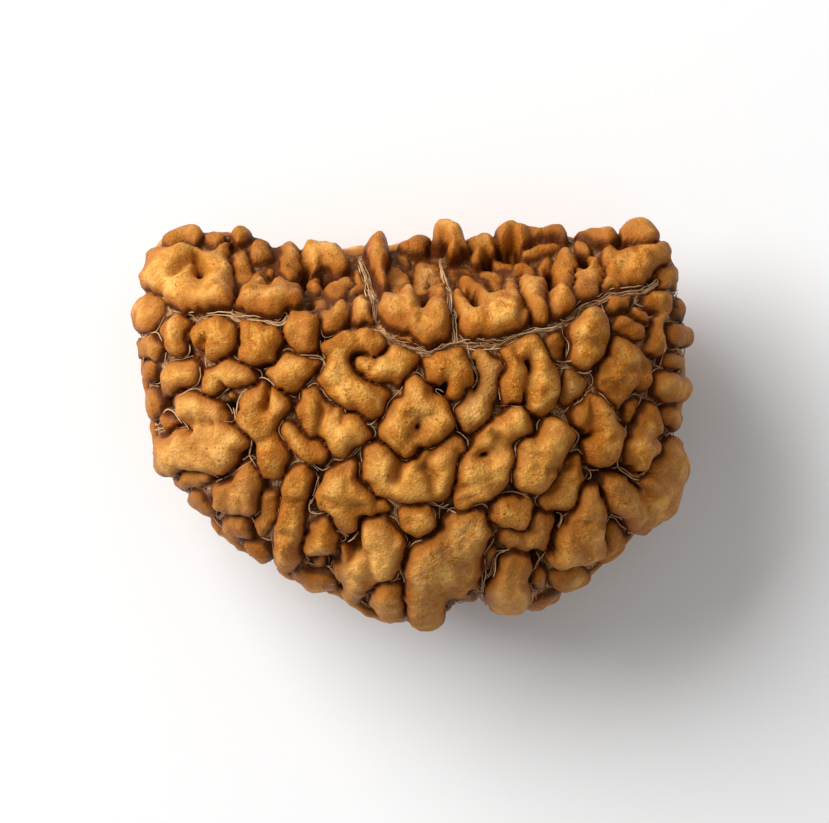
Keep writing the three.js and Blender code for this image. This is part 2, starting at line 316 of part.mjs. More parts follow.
// Height above the core's surface, negative inside it.
function coreHeight([x, y, z]) {
  const dx = x - CORE_CENTRE[0];
  const dy = y - CORE_CENTRE[1];
  const dz = z - CORE_CENTRE[2];
  const radius = planRadius(Math.atan2(dy, dx));
  const { depth: half, fullness: p } = dz > 0 ? CORE_FRONT : CORE_BACK;
  const q = Math.hypot(dx, dy) / radius;
  const w = Math.abs(dz) / half;
  const s = Math.max((q ** p + w ** p) ** (1 / p), 1e-6);
  const slope = Math.hypot((q / s) ** (p - 1) / radius, (w / s) ** (p - 1) / half);
  const body = (s - 1) / slope;
  const lean = THREE.MathUtils.degToRad(FACE_LEAN);
  const face = (y - FACE_RIM[0]) * Math.sin(lean) + (z - FACE_RIM[1]) * Math.cos(lean);
  const tuck = THREE.MathUtils.degToRad(TUCK_LEAN);
  const under = (y - WAIST[0]) * Math.sin(tuck) - (z - WAIST[1]) * Math.cos(tuck);
  const sides = softMax(softMax(body, face, FACE_BLEND), under, FACE_BLEND);
  const off = Math.hypot(y - FACE_HOLLOW.y, z - FACE_HOLLOW.z) / FACE_HOLLOW.reach;
  return sides + FACE_HOLLOW.depth * Math.exp(-off * off);
}

function coreNormal(p) {
  const step = 0.02;
  const slope = [0, 1, 2].map((axis) => {
    const ahead = [...p];
    const behind = [...p];
    ahead[axis] += step;
    behind[axis] -= step;
    return coreHeight(ahead) - coreHeight(behind);
  });
  return unit(slope);
}

// The core's point under p.
function footOnCore(p) {
  let foot = p;
  for (let i = 0; i < 4; i++) foot = add(foot, coreNormal(foot), -coreHeight(foot));
  return foot;
}

const lobeHeight = (halfWidth, extra) => LOBE_HEIGHT + LOBE_HEIGHT_BY_WIDTH * halfWidth + extra;

// Where a point of the core shows on the front: X and Y of the lobe's top over it, and a third number that
// grows below the widest line, so that what shows on the front doesn't repeat on the back.
function seenFrom(foot) {
  const normal = coreNormal(foot);
  const under = Math.max(CORE_CENTRE[2] + SEEN.underFrom - foot[2], 0) * SEEN.underShare;
  return [foot[0] + normal[0] * SEEN.lobeDepth, foot[1] + normal[1] * SEEN.lobeDepth, under];
}

// Lobes of the front keep their strokes as seen, and those of the back as points of the core.
const lobes = FRONT_LOBES.map(([extra, ...strokes]) => ({
  extra,
  onFront: true,
  strokes: strokes.map((stroke) => stroke.map(([x, y, halfWidth]) => ({ at: [x, y, 0], halfWidth }))),
}));

// Distance from p to the straight run from a to b, and how far along it the nearest place lies.
function besideRun(p, a, b) {
  const run = add(b, a, -1);
  const t = clamp(dot(add(p, a, -1), run) / Math.max(dot(run, run), 1e-9), 0, 1);
  return { off: distance(p, add(a, run, t)), t };
}

// How far a place lies outside a lobe's strokes, and the stroke's half-width there.
function besideLobe(lobe, place) {
  const p = lobe.onFront ? place.seen : place.foot;
  let beside = Infinity;
  let halfWidth = 0;
  for (const stroke of lobe.strokes) {
    for (let i = 0; i + 1 < stroke.length; i++) {
      const [a, b] = [stroke[i], stroke[i + 1]];
      const { off, t } = besideRun(p, a.at, b.at);
      const width = a.halfWidth + (b.halfWidth - a.halfWidth) * t;
      if (off - width < beside) {
        beside = off - width;
        halfWidth = width;
      }
    }
  }
  return { beside, halfWidth };
}

// A point of the core with the place where it shows.
const placeOf = (foot) => ({ foot, seen: seenFrom(foot) });

// Distance from a point of the core to the nearest lobe's edge.
const roomAt = (foot) => {
  const place = placeOf(foot);
  return Math.min(...lobes.map((lobe) => besideLobe(lobe, place).beside));
};

// Seats spread evenly over the core by the golden angle.
function coreSeats(count) {
  const golden = Math.PI * (3 - Math.sqrt(5));
  return Array.from({ length: count }, (_, i) => {
    const up = 1 - (2 * i + 1) / count;
    const out = Math.sqrt(1 - up * up);
    const ray = [14 * out * Math.cos(golden * i), 10.5 * out * Math.sin(golden * i), 7.5 * up];
    let [low, high] = [0, 2];
    for (let k = 0; k < 26; k++) {
      const t = (low + high) / 2;
      if (coreHeight(add(CORE_CENTRE, ray, t)) < 0) low = t;
      else high = t;
    }
    return add(CORE_CENTRE, ray, low);
  });
}

// Park and Miller's generator, from 0 to 1.
let seed = BACK_SEED;
function draw() {
  seed = (seed * 16807) % 2147483647;
  return seed / 2147483647;
}

// The next point of a stroke, one stride on from the last in a direction along the core.
function nextPoint(last, turn, stride) {
  const normal = coreNormal(last);
  const side = unit([normal[1], -normal[0], 0.001]);
  const ahead = cross(normal, side);
  const way = add(add([0, 0, 0], side, Math.cos(turn)), ahead, Math.sin(turn));
  return footOnCore(add(last, way, stride));
}

// Lobes grow from every open seat: on the back, and on the bare ground of the straight side.
for (const { halfWidth, bends, stride, seats, room } of BACK_RUNS) {
  for (const seat of coreSeats(seats)) {
    const spin = draw() * 2 * Math.PI;
    const curl = (draw() - 0.5) * 2.4;
    const size = halfWidth * (0.85 + 0.3 * draw());
    const beside = clamp(1 - (CORE_CENTRE[2] - seat[2]) / SIDE_DROP.reach, 0, 1);
    const straight = seat[1] > BARE_GROUND.beyondY;
    const behind = straight ? clamp((seat[2] - STRAIGHT_DROP.fromZ) / STRAIGHT_DROP.reach, 0, 1) : 0;
    const extra = 0.15 * (draw() - 0.5) - SIDE_DROP.height * beside - STRAIGHT_DROP.height * behind;
    const widths = Array.from({ length: bends + 1 }, () => size * (0.8 + 0.4 * draw()));
    const under = coreNormal(seat)[2] < BACK_STARTS_BELOW;
    if (!under && !straight) continue;
    const free = roomAt(seat);
    if (free <= widths[0] * room || (!under && free <= BARE_GROUND.fromLobes)) continue;
    const points = [seat];
    for (let i = 1; i <= bends; i++) points.push(nextPoint(points[i - 1], spin + curl * i, stride * size));
    if (points.slice(1).every((point, i) => roomAt(point) > widths[i + 1] * room)) {
      const stroke = points.map((at, i) => ({ at, halfWidth: widths[i] }));
      lobes.push({ extra, onFront: false, strokes: [stroke] });
    }
  }
}

// The lobes that may reach into a cell of the core, remembered by cell.
const lobesByCell = new Map();
const CELL = 1.2;

function lobesNear(place) {
  const cell = place.foot.map((v) => Math.round(v / CELL));
  const key = (cell[0] * 1000 + cell[1]) * 1000 + cell[2];
  if (!lobesByCell.has(key)) {
    const reach = lobes.map((lobe) => besideLobe(lobe, place).beside);
    const second = [...reach].sort((a, b) => a - b)[1];
    lobesByCell.set(key, lobes.filter((_, i) => reach[i] < second + 4 * CELL));
  }
  return lobesByCell.get(key);
}

// The two lobes nearest to a place, as distances outside their strokes.
function nearestLobes(place) {
  let first = { beside: Infinity, halfWidth: 1, extra: 0 };
  let second = first;
  for (const lobe of lobesNear(place)) {
    const near = besideLobe(lobe, place);
    if (near.beside < first.beside) {
      second = first;
      first = { ...near, extra: lobe.extra };
    } else if (near.beside < second.beside) second = near;
  }
  return [first, second];
}

// How far a place of the front lies inside the walls of an open furrow or a pit, negative outside.
function carveAt(seen) {
  let carve = -1;
  for (const furrow of FURROWS) {
    for (let i = 0; i + 1 < furrow.length; i++) {
      const [[x0, y0, w0], [x1, y1, w1]] = [furrow[i], furrow[i + 1]];
      const { off, t } = besideRun(seen, [x0, y0, 0], [x1, y1, 0]);
      carve = Math.max(carve, w0 + (w1 - w0) * t - off);
    }
  }
  for (const [x0, y0, x1, y1, halfWidth] of PITS) {
    carve = Math.max(carve, halfWidth - besideRun(seen, [x0, y0, 0], [x1, y1, 0]).off);
  }
  return carve;
}

// How far a place of the front belongs to the straight side, above the long furrow: 0 to 1.
const longFurrow = [...FURROWS[0], ...FURROWS[1]];

function fusedShare([x, y, under]) {
  const next = clamp(longFurrow.findIndex((point) => point[0] > x), 0, longFurrow.length - 1);
  const end = x > longFurrow.at(-1)[0] ? longFurrow.length - 1 : next;
  const [[x0, y0], [x1, y1]] = [longFurrow[Math.max(end - 1, 0)], longFurrow[end]];
  const line = y0 + (y1 - y0) * clamp((x - x0) / Math.max(x1 - x0, 1e-9), 0, 1);
  return clamp((y - line) / 1.2, 0, 1) * clamp(1 - under / 1.6, 0, 1);
}

// The lobe's edge is where it ends by itself, meets a neighbour, or is carved: positive outside it.
function edgeAt(place, first, second) {
  const fused = fusedShare(place.seen);
  const contact = FURROW_HALF_WIDTH + FUSED.halfWidth * fused - (second.beside - first.beside) / 2;
  const reach = LOBE_REACH + FUSED.reach * fused;
  return softMax(softMax(first.beside - reach, contact, CORNER_BLEND), carveAt(place.seen), 0.15);
}

// How far a point of the core lies from the nearest edge of a lobe.
function offEdge(foot) {
  const place = placeOf(foot);
  return Math.abs(edgeAt(place, ...nearestLobes(place)));
}

// Height of the stone's surface above the core at a point of the core.
function reliefHeight(foot) {
  const place = placeOf(foot);
  const [first, second] = nearestLobes(place);
  let floor = FURROW_FLOOR + FUSED.floor * fusedShare(place.seen);
  for (const [x0, y0, x1, y1, halfWidth, depth] of PITS) {
    const away = besideRun(place.seen, [x0, y0, 0], [x1, y1, 0]).off / (halfWidth + 0.15);
    floor -= depth * Math.exp(-away * away);
  }
  const width = first.halfWidth + SHOULDER_REACH;
  const across = Math.max(1 + edgeAt(place, first, second) / width, 0);
  if (across >= 1) return floor;
  let top = lobeHeight(first.halfWidth, first.extra);
  for (const [x0, y0, x1, y1, halfWidth, depth] of CREASES) {
    const away = besideRun(place.seen, [x0, y0, 0], [x1, y1, 0]).off / halfWidth;
    top -= depth * Math.exp(-away * away);
  }
  const round = top * SHOULDER_SHARE;
  const rise = (1 - across ** SHOULDER_FULLNESS) ** (1 / SHOULDER_FULLNESS);
  return Math.max(top - round + round * rise, floor);
}

// Two directions along the core at a point with this normal.
function coreTangents(normal) {
  const side = unit([normal[2], 0, -normal[0] || 1e-6]);
  return [side, cross(normal, side)];
}

// Moves a point of the core on to the line that lies this far from the nearest lobe's edge.
function drawToLine(p, off) {
  const step = 0.05;
  const tangents = coreTangents(coreNormal(p));
  const slopes = tangents.map((way) => {
    return (offEdge(add(p, way, step)) - offEdge(add(p, way, -step))) / (2 * step);
  });
  const steep = Math.max(slopes[0] ** 2 + slopes[1] ** 2, 0.3);
  const pull = clamp((off - offEdge(p)) / steep, -0.3, 0.3) * 0.8;
  return footOnCore(add(add(p, tangents[0], slopes[0] * pull), tangents[1], slopes[1] * pull));
}

// Pushes corners that stand too close away from each other.
function spreadCorners(corners) {
  const cells = new Map();
  const cellOf = (p) => p.map((v) => Math.floor(v / CORNER_ROOM));
  const keyOf = ([i, j, k]) => (i * 1000 + j) * 1000 + k;
  corners.forEach((corner) => {
    const key = keyOf(cellOf(corner.at));
    if (!cells.has(key)) cells.set(key, []);
    cells.get(key).push(corner);
  });
  return corners.map((corner) => {
    const [i, j, k] = cellOf(corner.at);
    let push = [0, 0, 0];
    for (let c = 0; c < 27; c++) {
      const key = keyOf([i + (c % 3) - 1, j + (Math.floor(c / 3) % 3) - 1, k + Math.floor(c / 9) - 1]);
      for (const other of cells.get(key) ?? []) {
        const gap = distance(corner.at, other.at);
        if (other === corner || gap > CORNER_ROOM) continue;
        const weight = (CORNER_PUSH * (1 - gap / CORNER_ROOM)) / Math.max(gap, 0.02);
        push = add(push, add(corner.at, other.at, -1), weight);
      }
    }
    const size = Math.hypot(...push);
    const at = footOnCore(add(corner.at, push, Math.min(1, 0.25 / Math.max(size, 1e-9))));
    return { ...corner, at };
  });
}

// Corners of the facets: seats on the core, drawn to the nearest edge or shoulder and spread along it.
function settledCorners() {
  let corners = coreSeats(CORNERS).map((at) => {
    const off = offEdge(at);
    const line = CORNER_LINES.find(({ catches }) => off < catches);
    return { at, off: line?.off };
  });
  for (let round = 0; round < CORNER_ROUNDS; round++) {
    if (round) corners = spreadCorners(corners);
    corners = corners.map((corner) => {
      return corner.off === undefined ? corner : { ...corner, at: drawToLine(corner.at, corner.off) };
    });
  }
  return corners.map(({ at }) => at);
}

// The stone's surface: corners joined as on a sphere round the core, then lifted to the lobes.
function stoneGeometry() {
  const seats = settledCorners();
  const directions = seats.map((seat) => new THREE.Vector3(...unit(add(seat, CORE_CENTRE, -1))));
  const indexOf = new Map(directions.map((direction, i) => [direction, i]));
  const index = [];
  for (const face of new ConvexHull().setFromPoints(directions).faces) {
    let edge = face.edge;
    do {
      index.push(indexOf.get(edge.head().point));
      edge = edge.next;
    } while (edge !== face.edge);
  }
  const positions = seats.flatMap((seat) => {
    const [x, y, z] = add(seat, coreNormal(seat), reliefHeight(seat));
    return [x + PLACE[0], y + PLACE[1], Math.max(z + PLACE[2], 0)];
  });
  const geometry = new THREE.BufferGeometry();
  geometry.setAttribute("position", new THREE.Float32BufferAttribute(positions, 3));
  geometry.setIndex(index);
  geometry.computeVertexNormals();
  return geometry;
}

const stoneMaterial = new THREE.MeshStandardMaterial({ color: 0xb5803f, roughness: 0.55, metalness: 0 });
const stone = new THREE.Mesh(stoneGeometry(), stoneMaterial);
stone.name = "rudraksha_seed";

const group = new THREE.Group();
group.add(stone);

export default group;
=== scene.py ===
"""A rudraksha seed of the one-faced, half-moon kind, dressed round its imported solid.

The stone's fine surface follows the same formula as its faceted solid: a smooth core, and lobes raised from
it as strokes that press on each other along narrow furrows. Threads of dried flesh lie in the furrows.
Lengths are millimetres until a mesh is made, and metres in it.
"""

import logging
import math
from collections.abc import Callable
from dataclasses import dataclass, field
from enum import Enum

import bpy
import numpy as np
import openvdb
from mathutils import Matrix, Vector


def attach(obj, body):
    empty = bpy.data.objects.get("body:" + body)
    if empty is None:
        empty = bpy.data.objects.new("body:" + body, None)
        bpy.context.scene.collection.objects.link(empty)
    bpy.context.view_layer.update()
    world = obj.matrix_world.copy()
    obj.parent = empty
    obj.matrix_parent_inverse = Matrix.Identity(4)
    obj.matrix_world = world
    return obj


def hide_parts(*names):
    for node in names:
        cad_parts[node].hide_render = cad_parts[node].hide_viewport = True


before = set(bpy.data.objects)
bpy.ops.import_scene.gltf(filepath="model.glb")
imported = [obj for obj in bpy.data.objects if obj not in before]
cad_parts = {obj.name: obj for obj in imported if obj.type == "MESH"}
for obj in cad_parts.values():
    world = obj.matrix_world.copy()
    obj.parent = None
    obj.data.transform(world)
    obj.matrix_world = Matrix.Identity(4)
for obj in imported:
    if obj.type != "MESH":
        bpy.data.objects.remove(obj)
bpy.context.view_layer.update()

Array = np.ndarray
Pair = tuple[float, float]
Place = Colour = tuple[float, float, float]
Draws = np.random.Generator
Material, Object, Socket = bpy.types.Material, bpy.types.Object, bpy.types.NodeSocket
Near = dict[str, Array]

LOG = logging.getLogger("rudraksha")
MM = 0.001
PHOTO_PIXELS_PER_MM = 18.7
PHOTO_SIZE = (829, 823)
PHOTO_ORIGIN = (413.5, 423.0)

# Plan of the core, anticlockwise from the right: [x, y].
CORE_PLAN = [
    [13.75, 2.2], [14.05, 4.8], [13.8, 7.2], [13.2, 9.2], [12, 10.5], [10.2, 10.1], [8.2, 9.7], [5.3, 9.6],
    [1.9, 9.4], [-1.5, 8.9], [-5, 8.7], [-7.2, 9.1], [-8.9, 10.15], [-10.3, 10.7], [-12.1, 10.6],
    [-13.4, 9.4], [-13.9, 7.2], [-14.3, 5], [-13.75, 2.7], [-13.35, 0.2], [-12.8, -2], [-11.8, -3.4],
    [-9.8, -5.2], [-7.7, -6.8], [-4.9, -8.1], [-3.6, -8.3], [-2.3, -9.3], [0.6, -9.9], [3.1, -8.8],
    [5.3, -9.3], [8.2, -8.1], [10.4, -6.5], [12.3, -4.8], [13.5, -2.9], [13.4, -0.3],
]

# Lobes of the front and of the straight side: what each adds to its height, then its strokes.
# A stroke's points are [x, y, half-width], seen square on to the front.
FRONT_LOBES = [
    # The straight side, left part.
    [0.2, [[-11.9, 9, 0.5], [-12.6, 9, 0.62], [-13.4, 8.7, 0.75], [-13.5, 7.8, 0.8], [-13, 7.1, 0.75],
        [-12, 6.75, 0.7], [-11, 6.8, 0.75], [-10.3, 7, 0.75], [-10.4, 7.9, 0.75], [-10.7, 8.5, 0.6]],
        [[-10.3, 8.8, 0.45], [-10.15, 9.3, 0.3]], [[-12.2, 7.6, 0.6], [-12.1, 7.2, 0.6]]],
    [0.15, [[-13.1, 9.8, 0.45], [-12.5, 10.1, 0.5], [-11.7, 10.1, 0.5]]],
    [0.15, [[-10.7, 10.35, 0.38], [-10.75, 9.8, 0.38]]],
    [0.3, [[-9.6, 10.3, 0.42], [-9.3, 9.9, 0.45]]],
    [0.1, [[-8.6, 9.4, 0.4], [-8.2, 8.95, 0.45]]],
    [0, [[-9.2, 9.1, 0.42], [-9.3, 8.5, 0.48], [-9.2, 7.8, 0.38], [-9.2, 7.4, 0.25]]],
    [-0.1, [[-7.7, 8.4, 0.3], [-7.75, 8.2, 0.3]]],
    [0.25, [[-6.75, 9.2, 0.45], [-6.85, 8.5, 0.45], [-6.8, 7.9, 0.35]]],
    [0.25, [[-8.15, 7.7, 0.42], [-8.3, 7, 0.7], [-8.5, 6.4, 0.75]], [[-7.15, 7.5, 0.4], [-7.1, 6.8, 0.65],
        [-7.4, 6.3, 0.7]], [[-7.1, 6.6, 0.5], [-6.4, 6.6, 0.4]]],
    [0.35, [[-5.5, 8.7, 0.36], [-5.2, 9.2, 0.42], [-4.6, 9.1, 0.42], [-4.1, 8.8, 0.45], [-3.7, 8.4, 0.36]]],
    [-0.3, [[-3.5, 9, 0.2], [-3, 8.6, 0.2]]],
    [-0.2, [[-5.2, 7.43, 0.33], [-5.1, 7.4, 0.33]]],
    [0.1, [[-4.4, 7.1, 0.4], [-3.8, 7.1, 0.45], [-3.5, 7.7, 0.3]]],
    [0, [[-3.1, 8.2, 0.28], [-3, 7.6, 0.32], [-3.2, 7, 0.35]]],
    [0.1, [[-2.75, 6.4, 0.45], [-2.65, 5.7, 0.58]]],
    [-0.5, [[-5.3, 6.6, 0.3], [-4.9, 6.6, 0.38]]],
    [0.1, [[-3.9, 5.8, 0.5], [-4.3, 5.4, 0.6]], [[-4.3, 5.6, 0.4], [-5, 5.9, 0.25]]],
    # The straight side, middle part.
    [0.8, [[-1.95, 9.35, 0.5], [-2.1, 8.95, 0.42], [-2, 8.3, 0.32]], [[-1.65, 8.9, 0.28],
        [-1.65, 8.1, 0.38], [-1.6, 7.4, 0.4]]],
    [-0.1, [[-1.1, 8.2, 0.36], [-1, 7.5, 0.42]]],
    [0.3, [[-0.4, 9.4, 0.4], [0.2, 9.35, 0.42]]],
    [-0.1, [[-0.6, 9, 0.3], [-0.55, 8.95, 0.3]]],
    [-0.5, [[0.4, 8.4, 0.4], [0.9, 8.4, 0.45], [0.6, 7.6, 0.4]]],
    [0, [[1.3, 6.9, 0.45], [1.25, 6.85, 0.45]]],
    [0.45, [[-1.1, 5.9, 0.6], [0, 5.6, 0.85], [1.2, 5, 0.8]], [[1.2, 5, 0.6], [1.3, 5.7, 0.5]]],
    # The straight side, right part.
    [0.9, [[1.85, 10.2, 0.5], [1.9, 9.5, 0.5], [2.2, 8.9, 0.42]], [[2.4, 9.8, 0.38], [2.65, 9.2, 0.3]]],
    [0.2, [[3.3, 9.6, 0.45], [3.9, 9.4, 0.48]], [[3.4, 9.5, 0.3], [3.3, 8.8, 0.35]]],
    [0.75, [[5.2, 10.3, 0.6], [5.3, 9.8, 0.5], [6.2, 10, 0.45], [7.3, 10.3, 0.6], [7.9, 10.1, 0.45]]],
    [0.1, [[6.2, 9.2, 0.28], [7.2, 9.3, 0.36], [8.1, 9.5, 0.28]]],
    [-0.1, [[7.2, 8.75, 0.3], [7, 8.4, 0.3]]],
    [0, [[2.9, 7.7, 0.32], [3.5, 7.4, 0.42]]],
    [-0.3, [[2.2, 8.2, 0.16], [2.65, 8.4, 0.16], [3.3, 8.1, 0.16]]],
    [-0.4, [[3.7, 8.2, 0.3], [4.3, 8, 0.38], [4.5, 7.7, 0.3]]],
    [-0.3, [[4.5, 8.6, 0.2], [5, 8.5, 0.25]]],
    [-0.1, [[5.4, 8.3, 0.25], [6.3, 8.35, 0.28]]],
    [-0.5, [[4.8, 7.4, 0.2], [4.3, 6.9, 0.2]]],
    [0.45, [[2.9, 5.2, 0.62], [4.2, 5.2, 0.75], [5.3, 5.5, 0.7]], [[2.5, 6.3, 0.35], [3.1, 6.75, 0.22],
        [4.2, 6.4, 0.32], [4.7, 6.4, 0.3]], [[5.3, 5.7, 0.4], [5.2, 6.6, 0.4], [5.45, 7.3, 0.32]]],
    [0.35, [[5.95, 7.5, 0.4], [6.4, 6.8, 0.55], [6.8, 6.1, 0.7]]],
    [0.3, [[8.25, 9, 0.45], [8, 8.2, 0.5], [8.3, 7.4, 0.65], [8, 6.6, 0.7], [7.5, 6.2, 0.6]]],
    [0.2, [[9.75, 8.8, 0.38], [9.6, 8, 0.55], [9.1, 7.6, 0.65], [8.9, 7.1, 0.6]]],
    [0, [[8.8, 9.6, 0.35], [9.5, 9.3, 0.35]]],
    [0.5, [[9.2, 10.2, 0.45], [10, 10.1, 0.5], [10.6, 9.8, 0.5]]],
    [0.35, [[11.4, 10.2, 0.5], [12.1, 10.3, 0.65], [12.7, 9.9, 0.5]]],
    [0.25, [[13.1, 9.2, 0.48], [12.3, 8.9, 0.7], [11.5, 8.3, 0.75], [11, 7.8, 0.55]], [[10.6, 9.1, 0.42],
        [10.6, 8.3, 0.45], [10.7, 7.6, 0.4]]],
    [0, [[14, 8.2, 0.25], [13.7, 7.7, 0.4]]],
    # The broad front, left part.
    [-0.1, [[-13.9, 6.4, 0.45], [-14.2, 5.8, 0.7], [-14.3, 5.2, 0.6]]],
    [0, [[-12.7, 5.3, 0.6], [-12.7, 4.3, 0.65]], [[-12.8, 4.8, 0.5], [-13.4, 4.8, 0.4]]],
    [0, [[-11.5, 4.6, 0.55], [-10.7, 4.9, 0.75], [-10.3, 4.4, 0.75], [-10.5, 3.7, 0.55]]],
    [0.1, [[-8.6, 4.9, 0.7], [-7.9, 4.6, 0.75], [-8.3, 3.9, 0.75]]],
    [0, [[-6.4, 5.2, 0.65], [-5.6, 4.9, 0.9], [-5.7, 4.5, 0.8]]],
    [0, [[-14.3, 4.5, 0.5], [-14.2, 3.8, 0.45]]],
    [0, [[-14.2, 3.1, 0.35], [-14.2, 2.4, 0.4]]],
    [0, [[-13.2, 2.2, 0.65], [-12.6, 2.4, 0.8], [-12, 2.7, 0.65]]],
    [-0.3, [[-11.65, 3.6, 0.25], [-11.6, 3.55, 0.25]]],
    [0, [[-10.8, 1.9, 0.45], [-10.7, 2.4, 0.6], [-9.9, 2.65, 0.7], [-9.1, 2.4, 0.6]]],
    [-0.3, [[-9.85, 1.5, 0.25], [-9.8, 1.45, 0.25]]],
    [0, [[-12.1, 1, 0.7], [-11.3, 0.8, 0.75], [-10.5, 0.6, 0.6]], [[-12.9, -0.9, 0.7], [-12.6, -1.9, 0.9],
        [-11.4, -1.8, 0.8], [-10.4, -1.5, 0.95], [-11, -0.6, 0.8]], [[-10.4, -1.2, 0.5],
        [-9.6, -0.9, 0.55]]],
    [0, [[-14, 1.9, 0.35], [-14, 1.1, 0.4], [-13.8, 0.5, 0.4]]],
    [0, [[-13.5, 0.2, 0.45], [-13.1, -0.2, 0.45]]],
    [-0.1, [[-12.4, -3, 0.4], [-11.2, -3, 0.35]]],
    [0.1, [[-8.7, -3, 0.65], [-8.8, -3.8, 0.85], [-9.6, -4.2, 0.75], [-10.4, -4.2, 0.6]]],
    [-0.1, [[-11.6, -4.1, 0.35], [-10.9, -4.7, 0.3]]],
    [0, [[-9.7, -5.5, 0.4], [-9, -6, 0.5]]],
    [0, [[-8.6, -6.5, 0.5], [-8.1, -6.9, 0.45]]],
    [0, [[-7.6, -4, 0.35], [-7.9, -5, 0.45], [-8.1, -5.7, 0.5]]],
    [0.1, [[-8.5, 1.4, 0.65], [-8.6, 0.5, 0.75], [-8.2, -0.3, 0.7], [-7.8, -1, 0.6], [-7.4, -1.9, 0.75],
        [-7.3, -2.4, 0.55]], [[-7.3, 1.5, 0.5], [-7.2, 0.8, 0.65], [-7.6, 0.1, 0.6]]],
    [0.1, [[-7.1, 2.5, 0.5], [-6.5, 2.8, 0.75], [-5.8, 3, 0.6]], [[-6.4, 2.5, 0.5], [-6.3, 2.1, 0.5]]],
    [0.25, [[-4.4, 4, 0.55], [-4, 3.5, 0.6], [-4.1, 2.6, 0.8], [-3.5, 1.8, 0.9], [-2.6, 1.4, 0.85],
        [-2.1, 1, 0.75]], [[-4.3, 3.9, 0.5], [-3.7, 4.3, 0.5], [-2.9, 4.55, 0.42], [-2.2, 4.3, 0.65]]],
    [0.1, [[-2.6, 2.95, 0.42], [-1.8, 2.8, 0.65], [-0.9, 2.9, 0.75], [-0.5, 3.6, 0.7], [-0.5, 4.1, 0.5]]],
    [0.1, [[-5.4, 1.1, 0.55], [-5.6, 0.5, 0.65], [-5.4, -0.1, 0.5]], [[-4.6, 0.5, 0.4], [-4.4, -0.3, 0.6],
        [-3.9, -0.8, 0.8], [-3.2, -0.4, 0.8]], [[-4.3, 0, 0.3], [-4.1, 0.6, 0.28]]],
    [0, [[-6.5, -0.4, 0.45], [-6, -1.1, 0.65], [-5.2, -1.7, 0.55]]],
    [0.1, [[-6, -2.7, 0.5], [-6.4, -3.6, 0.6], [-6.5, -4.8, 0.7], [-6.9, -5.9, 0.65], [-7, -6.8, 0.6],
        [-6.5, -7.5, 0.45]]],
    [0.15, [[-3.4, -2.6, 0.55], [-3.7, -3.5, 0.95], [-4.3, -4.2, 0.85], [-4, -4.8, 0.7],
        [-3.4, -5.1, 0.45]], [[-3.5, -3.7, 0.7], [-2.9, -3.9, 0.7], [-2.2, -4.4, 0.5], [-1.5, -4.5, 0.45]]],
    [0, [[-4.6, -5.4, 0.5], [-4.9, -6.3, 0.75], [-5.3, -6.6, 0.5]]],
    [-0.2, [[-5.1, -7.6, 0.3], [-5, -7.55, 0.3]]],
    [0, [[-6, -8.2, 0.4], [-5.2, -8.5, 0.45], [-4.5, -8.5, 0.4]]],
    [0.2, [[-2, -1.7, 0.6], [-1.8, -2.5, 0.85], [-1.5, -3.4, 0.65], [-0.5, -3.6, 0.65], [0.4, -3.5, 0.75],
        [1.2, -3.3, 0.7], [1.6, -2.4, 0.6], [1.7, -1.7, 0.6], [0.9, -1.7, 0.5]], [[1.8, -1.5, 0.4],
        [2.2, -1.1, 0.3]], [[-0.1, -3.2, 0.5], [-0.1, -2.7, 0.55]]],
    [0.1, [[-1.9, -5.6, 0.7], [-1.5, -6.6, 0.85], [-1.6, -7.5, 0.9], [-2.6, -7.9, 0.9], [-3.5, -7.7, 0.75]],
        [[-2.9, -8.1, 0.6], [-3.1, -8.6, 0.6]]],
    [0.1, [[-0.1, -4.9, 0.65], [0.4, -5.1, 0.7]]],
    [0, [[-1.3, -9.2, 0.8], [-1, -9.9, 0.6]]],
    # The broad front, middle and right part.
    [0.1, [[1.1, 3, 0.6], [1.9, 3.2, 0.95], [2.3, 2.6, 0.9], [2.1, 1.8, 0.6]]],
    [0.25, [[0, 1.9, 0.5], [0.4, 1.4, 0.6], [0.3, 1, 0.7], [-0.9, 0.4, 0.75], [-0.6, -0.5, 0.95],
        [0.2, -0.8, 0.7]], [[0.4, 1.1, 0.6], [1.4, 0.9, 0.6], [1.3, 0.1, 0.8], [1.3, -0.5, 0.65]]],
    [-0.2, [[3.6, 3.6, 0.4], [4.2, 2.8, 0.5], [4, 2, 0.45], [3.4, 1.2, 0.6], [3.1, 0.4, 0.78]]],
    [0.2, [[5.1, 3.6, 0.45], [5.3, 2.8, 0.5], [5.3, 1.8, 0.58], [5.3, 1.5, 0.5]], [[5.1, 3.7, 0.4],
        [5.4, 4, 0.4], [6.2, 4.4, 0.45], [6.8, 4.1, 0.55], [6.9, 3, 0.62], [6.8, 2, 0.72],
        [6.7, 1.2, 0.72]]],
    [-0.1, [[7.45, 4.5, 0.3], [7.5, 3.4, 0.3]]],
    [0.2, [[9.6, 5.5, 0.6], [9.2, 4.6, 0.95], [9.1, 3.8, 0.75]]],
    [0.1, [[5.5, 0.1, 0.65], [4.9, -0.3, 0.7], [4.4, -0.9, 0.6], [3.7, -1.3, 0.65], [3.5, -2.3, 0.95],
        [3.6, -3.2, 0.8], [2.7, -3.9, 0.58]], [[3.8, -2.1, 0.7], [4.5, -2, 0.8], [4.2, -2.9, 0.7]]],
    [-0.3, [[8.6, 2.1, 0.55], [8.3, 1.3, 0.5]]],
    [0.1, [[11.2, 4, 0.4], [11.8, 3.3, 0.8], [11.9, 2.6, 0.75], [10.7, 2.5, 0.75], [10.8, 1.6, 0.6],
        [11, 0.8, 0.4]]],
    [0.2, [[9, 0.7, 0.6], [10.1, 0.5, 0.85], [10.3, -0.6, 0.8], [9.9, -1.4, 0.8]]],
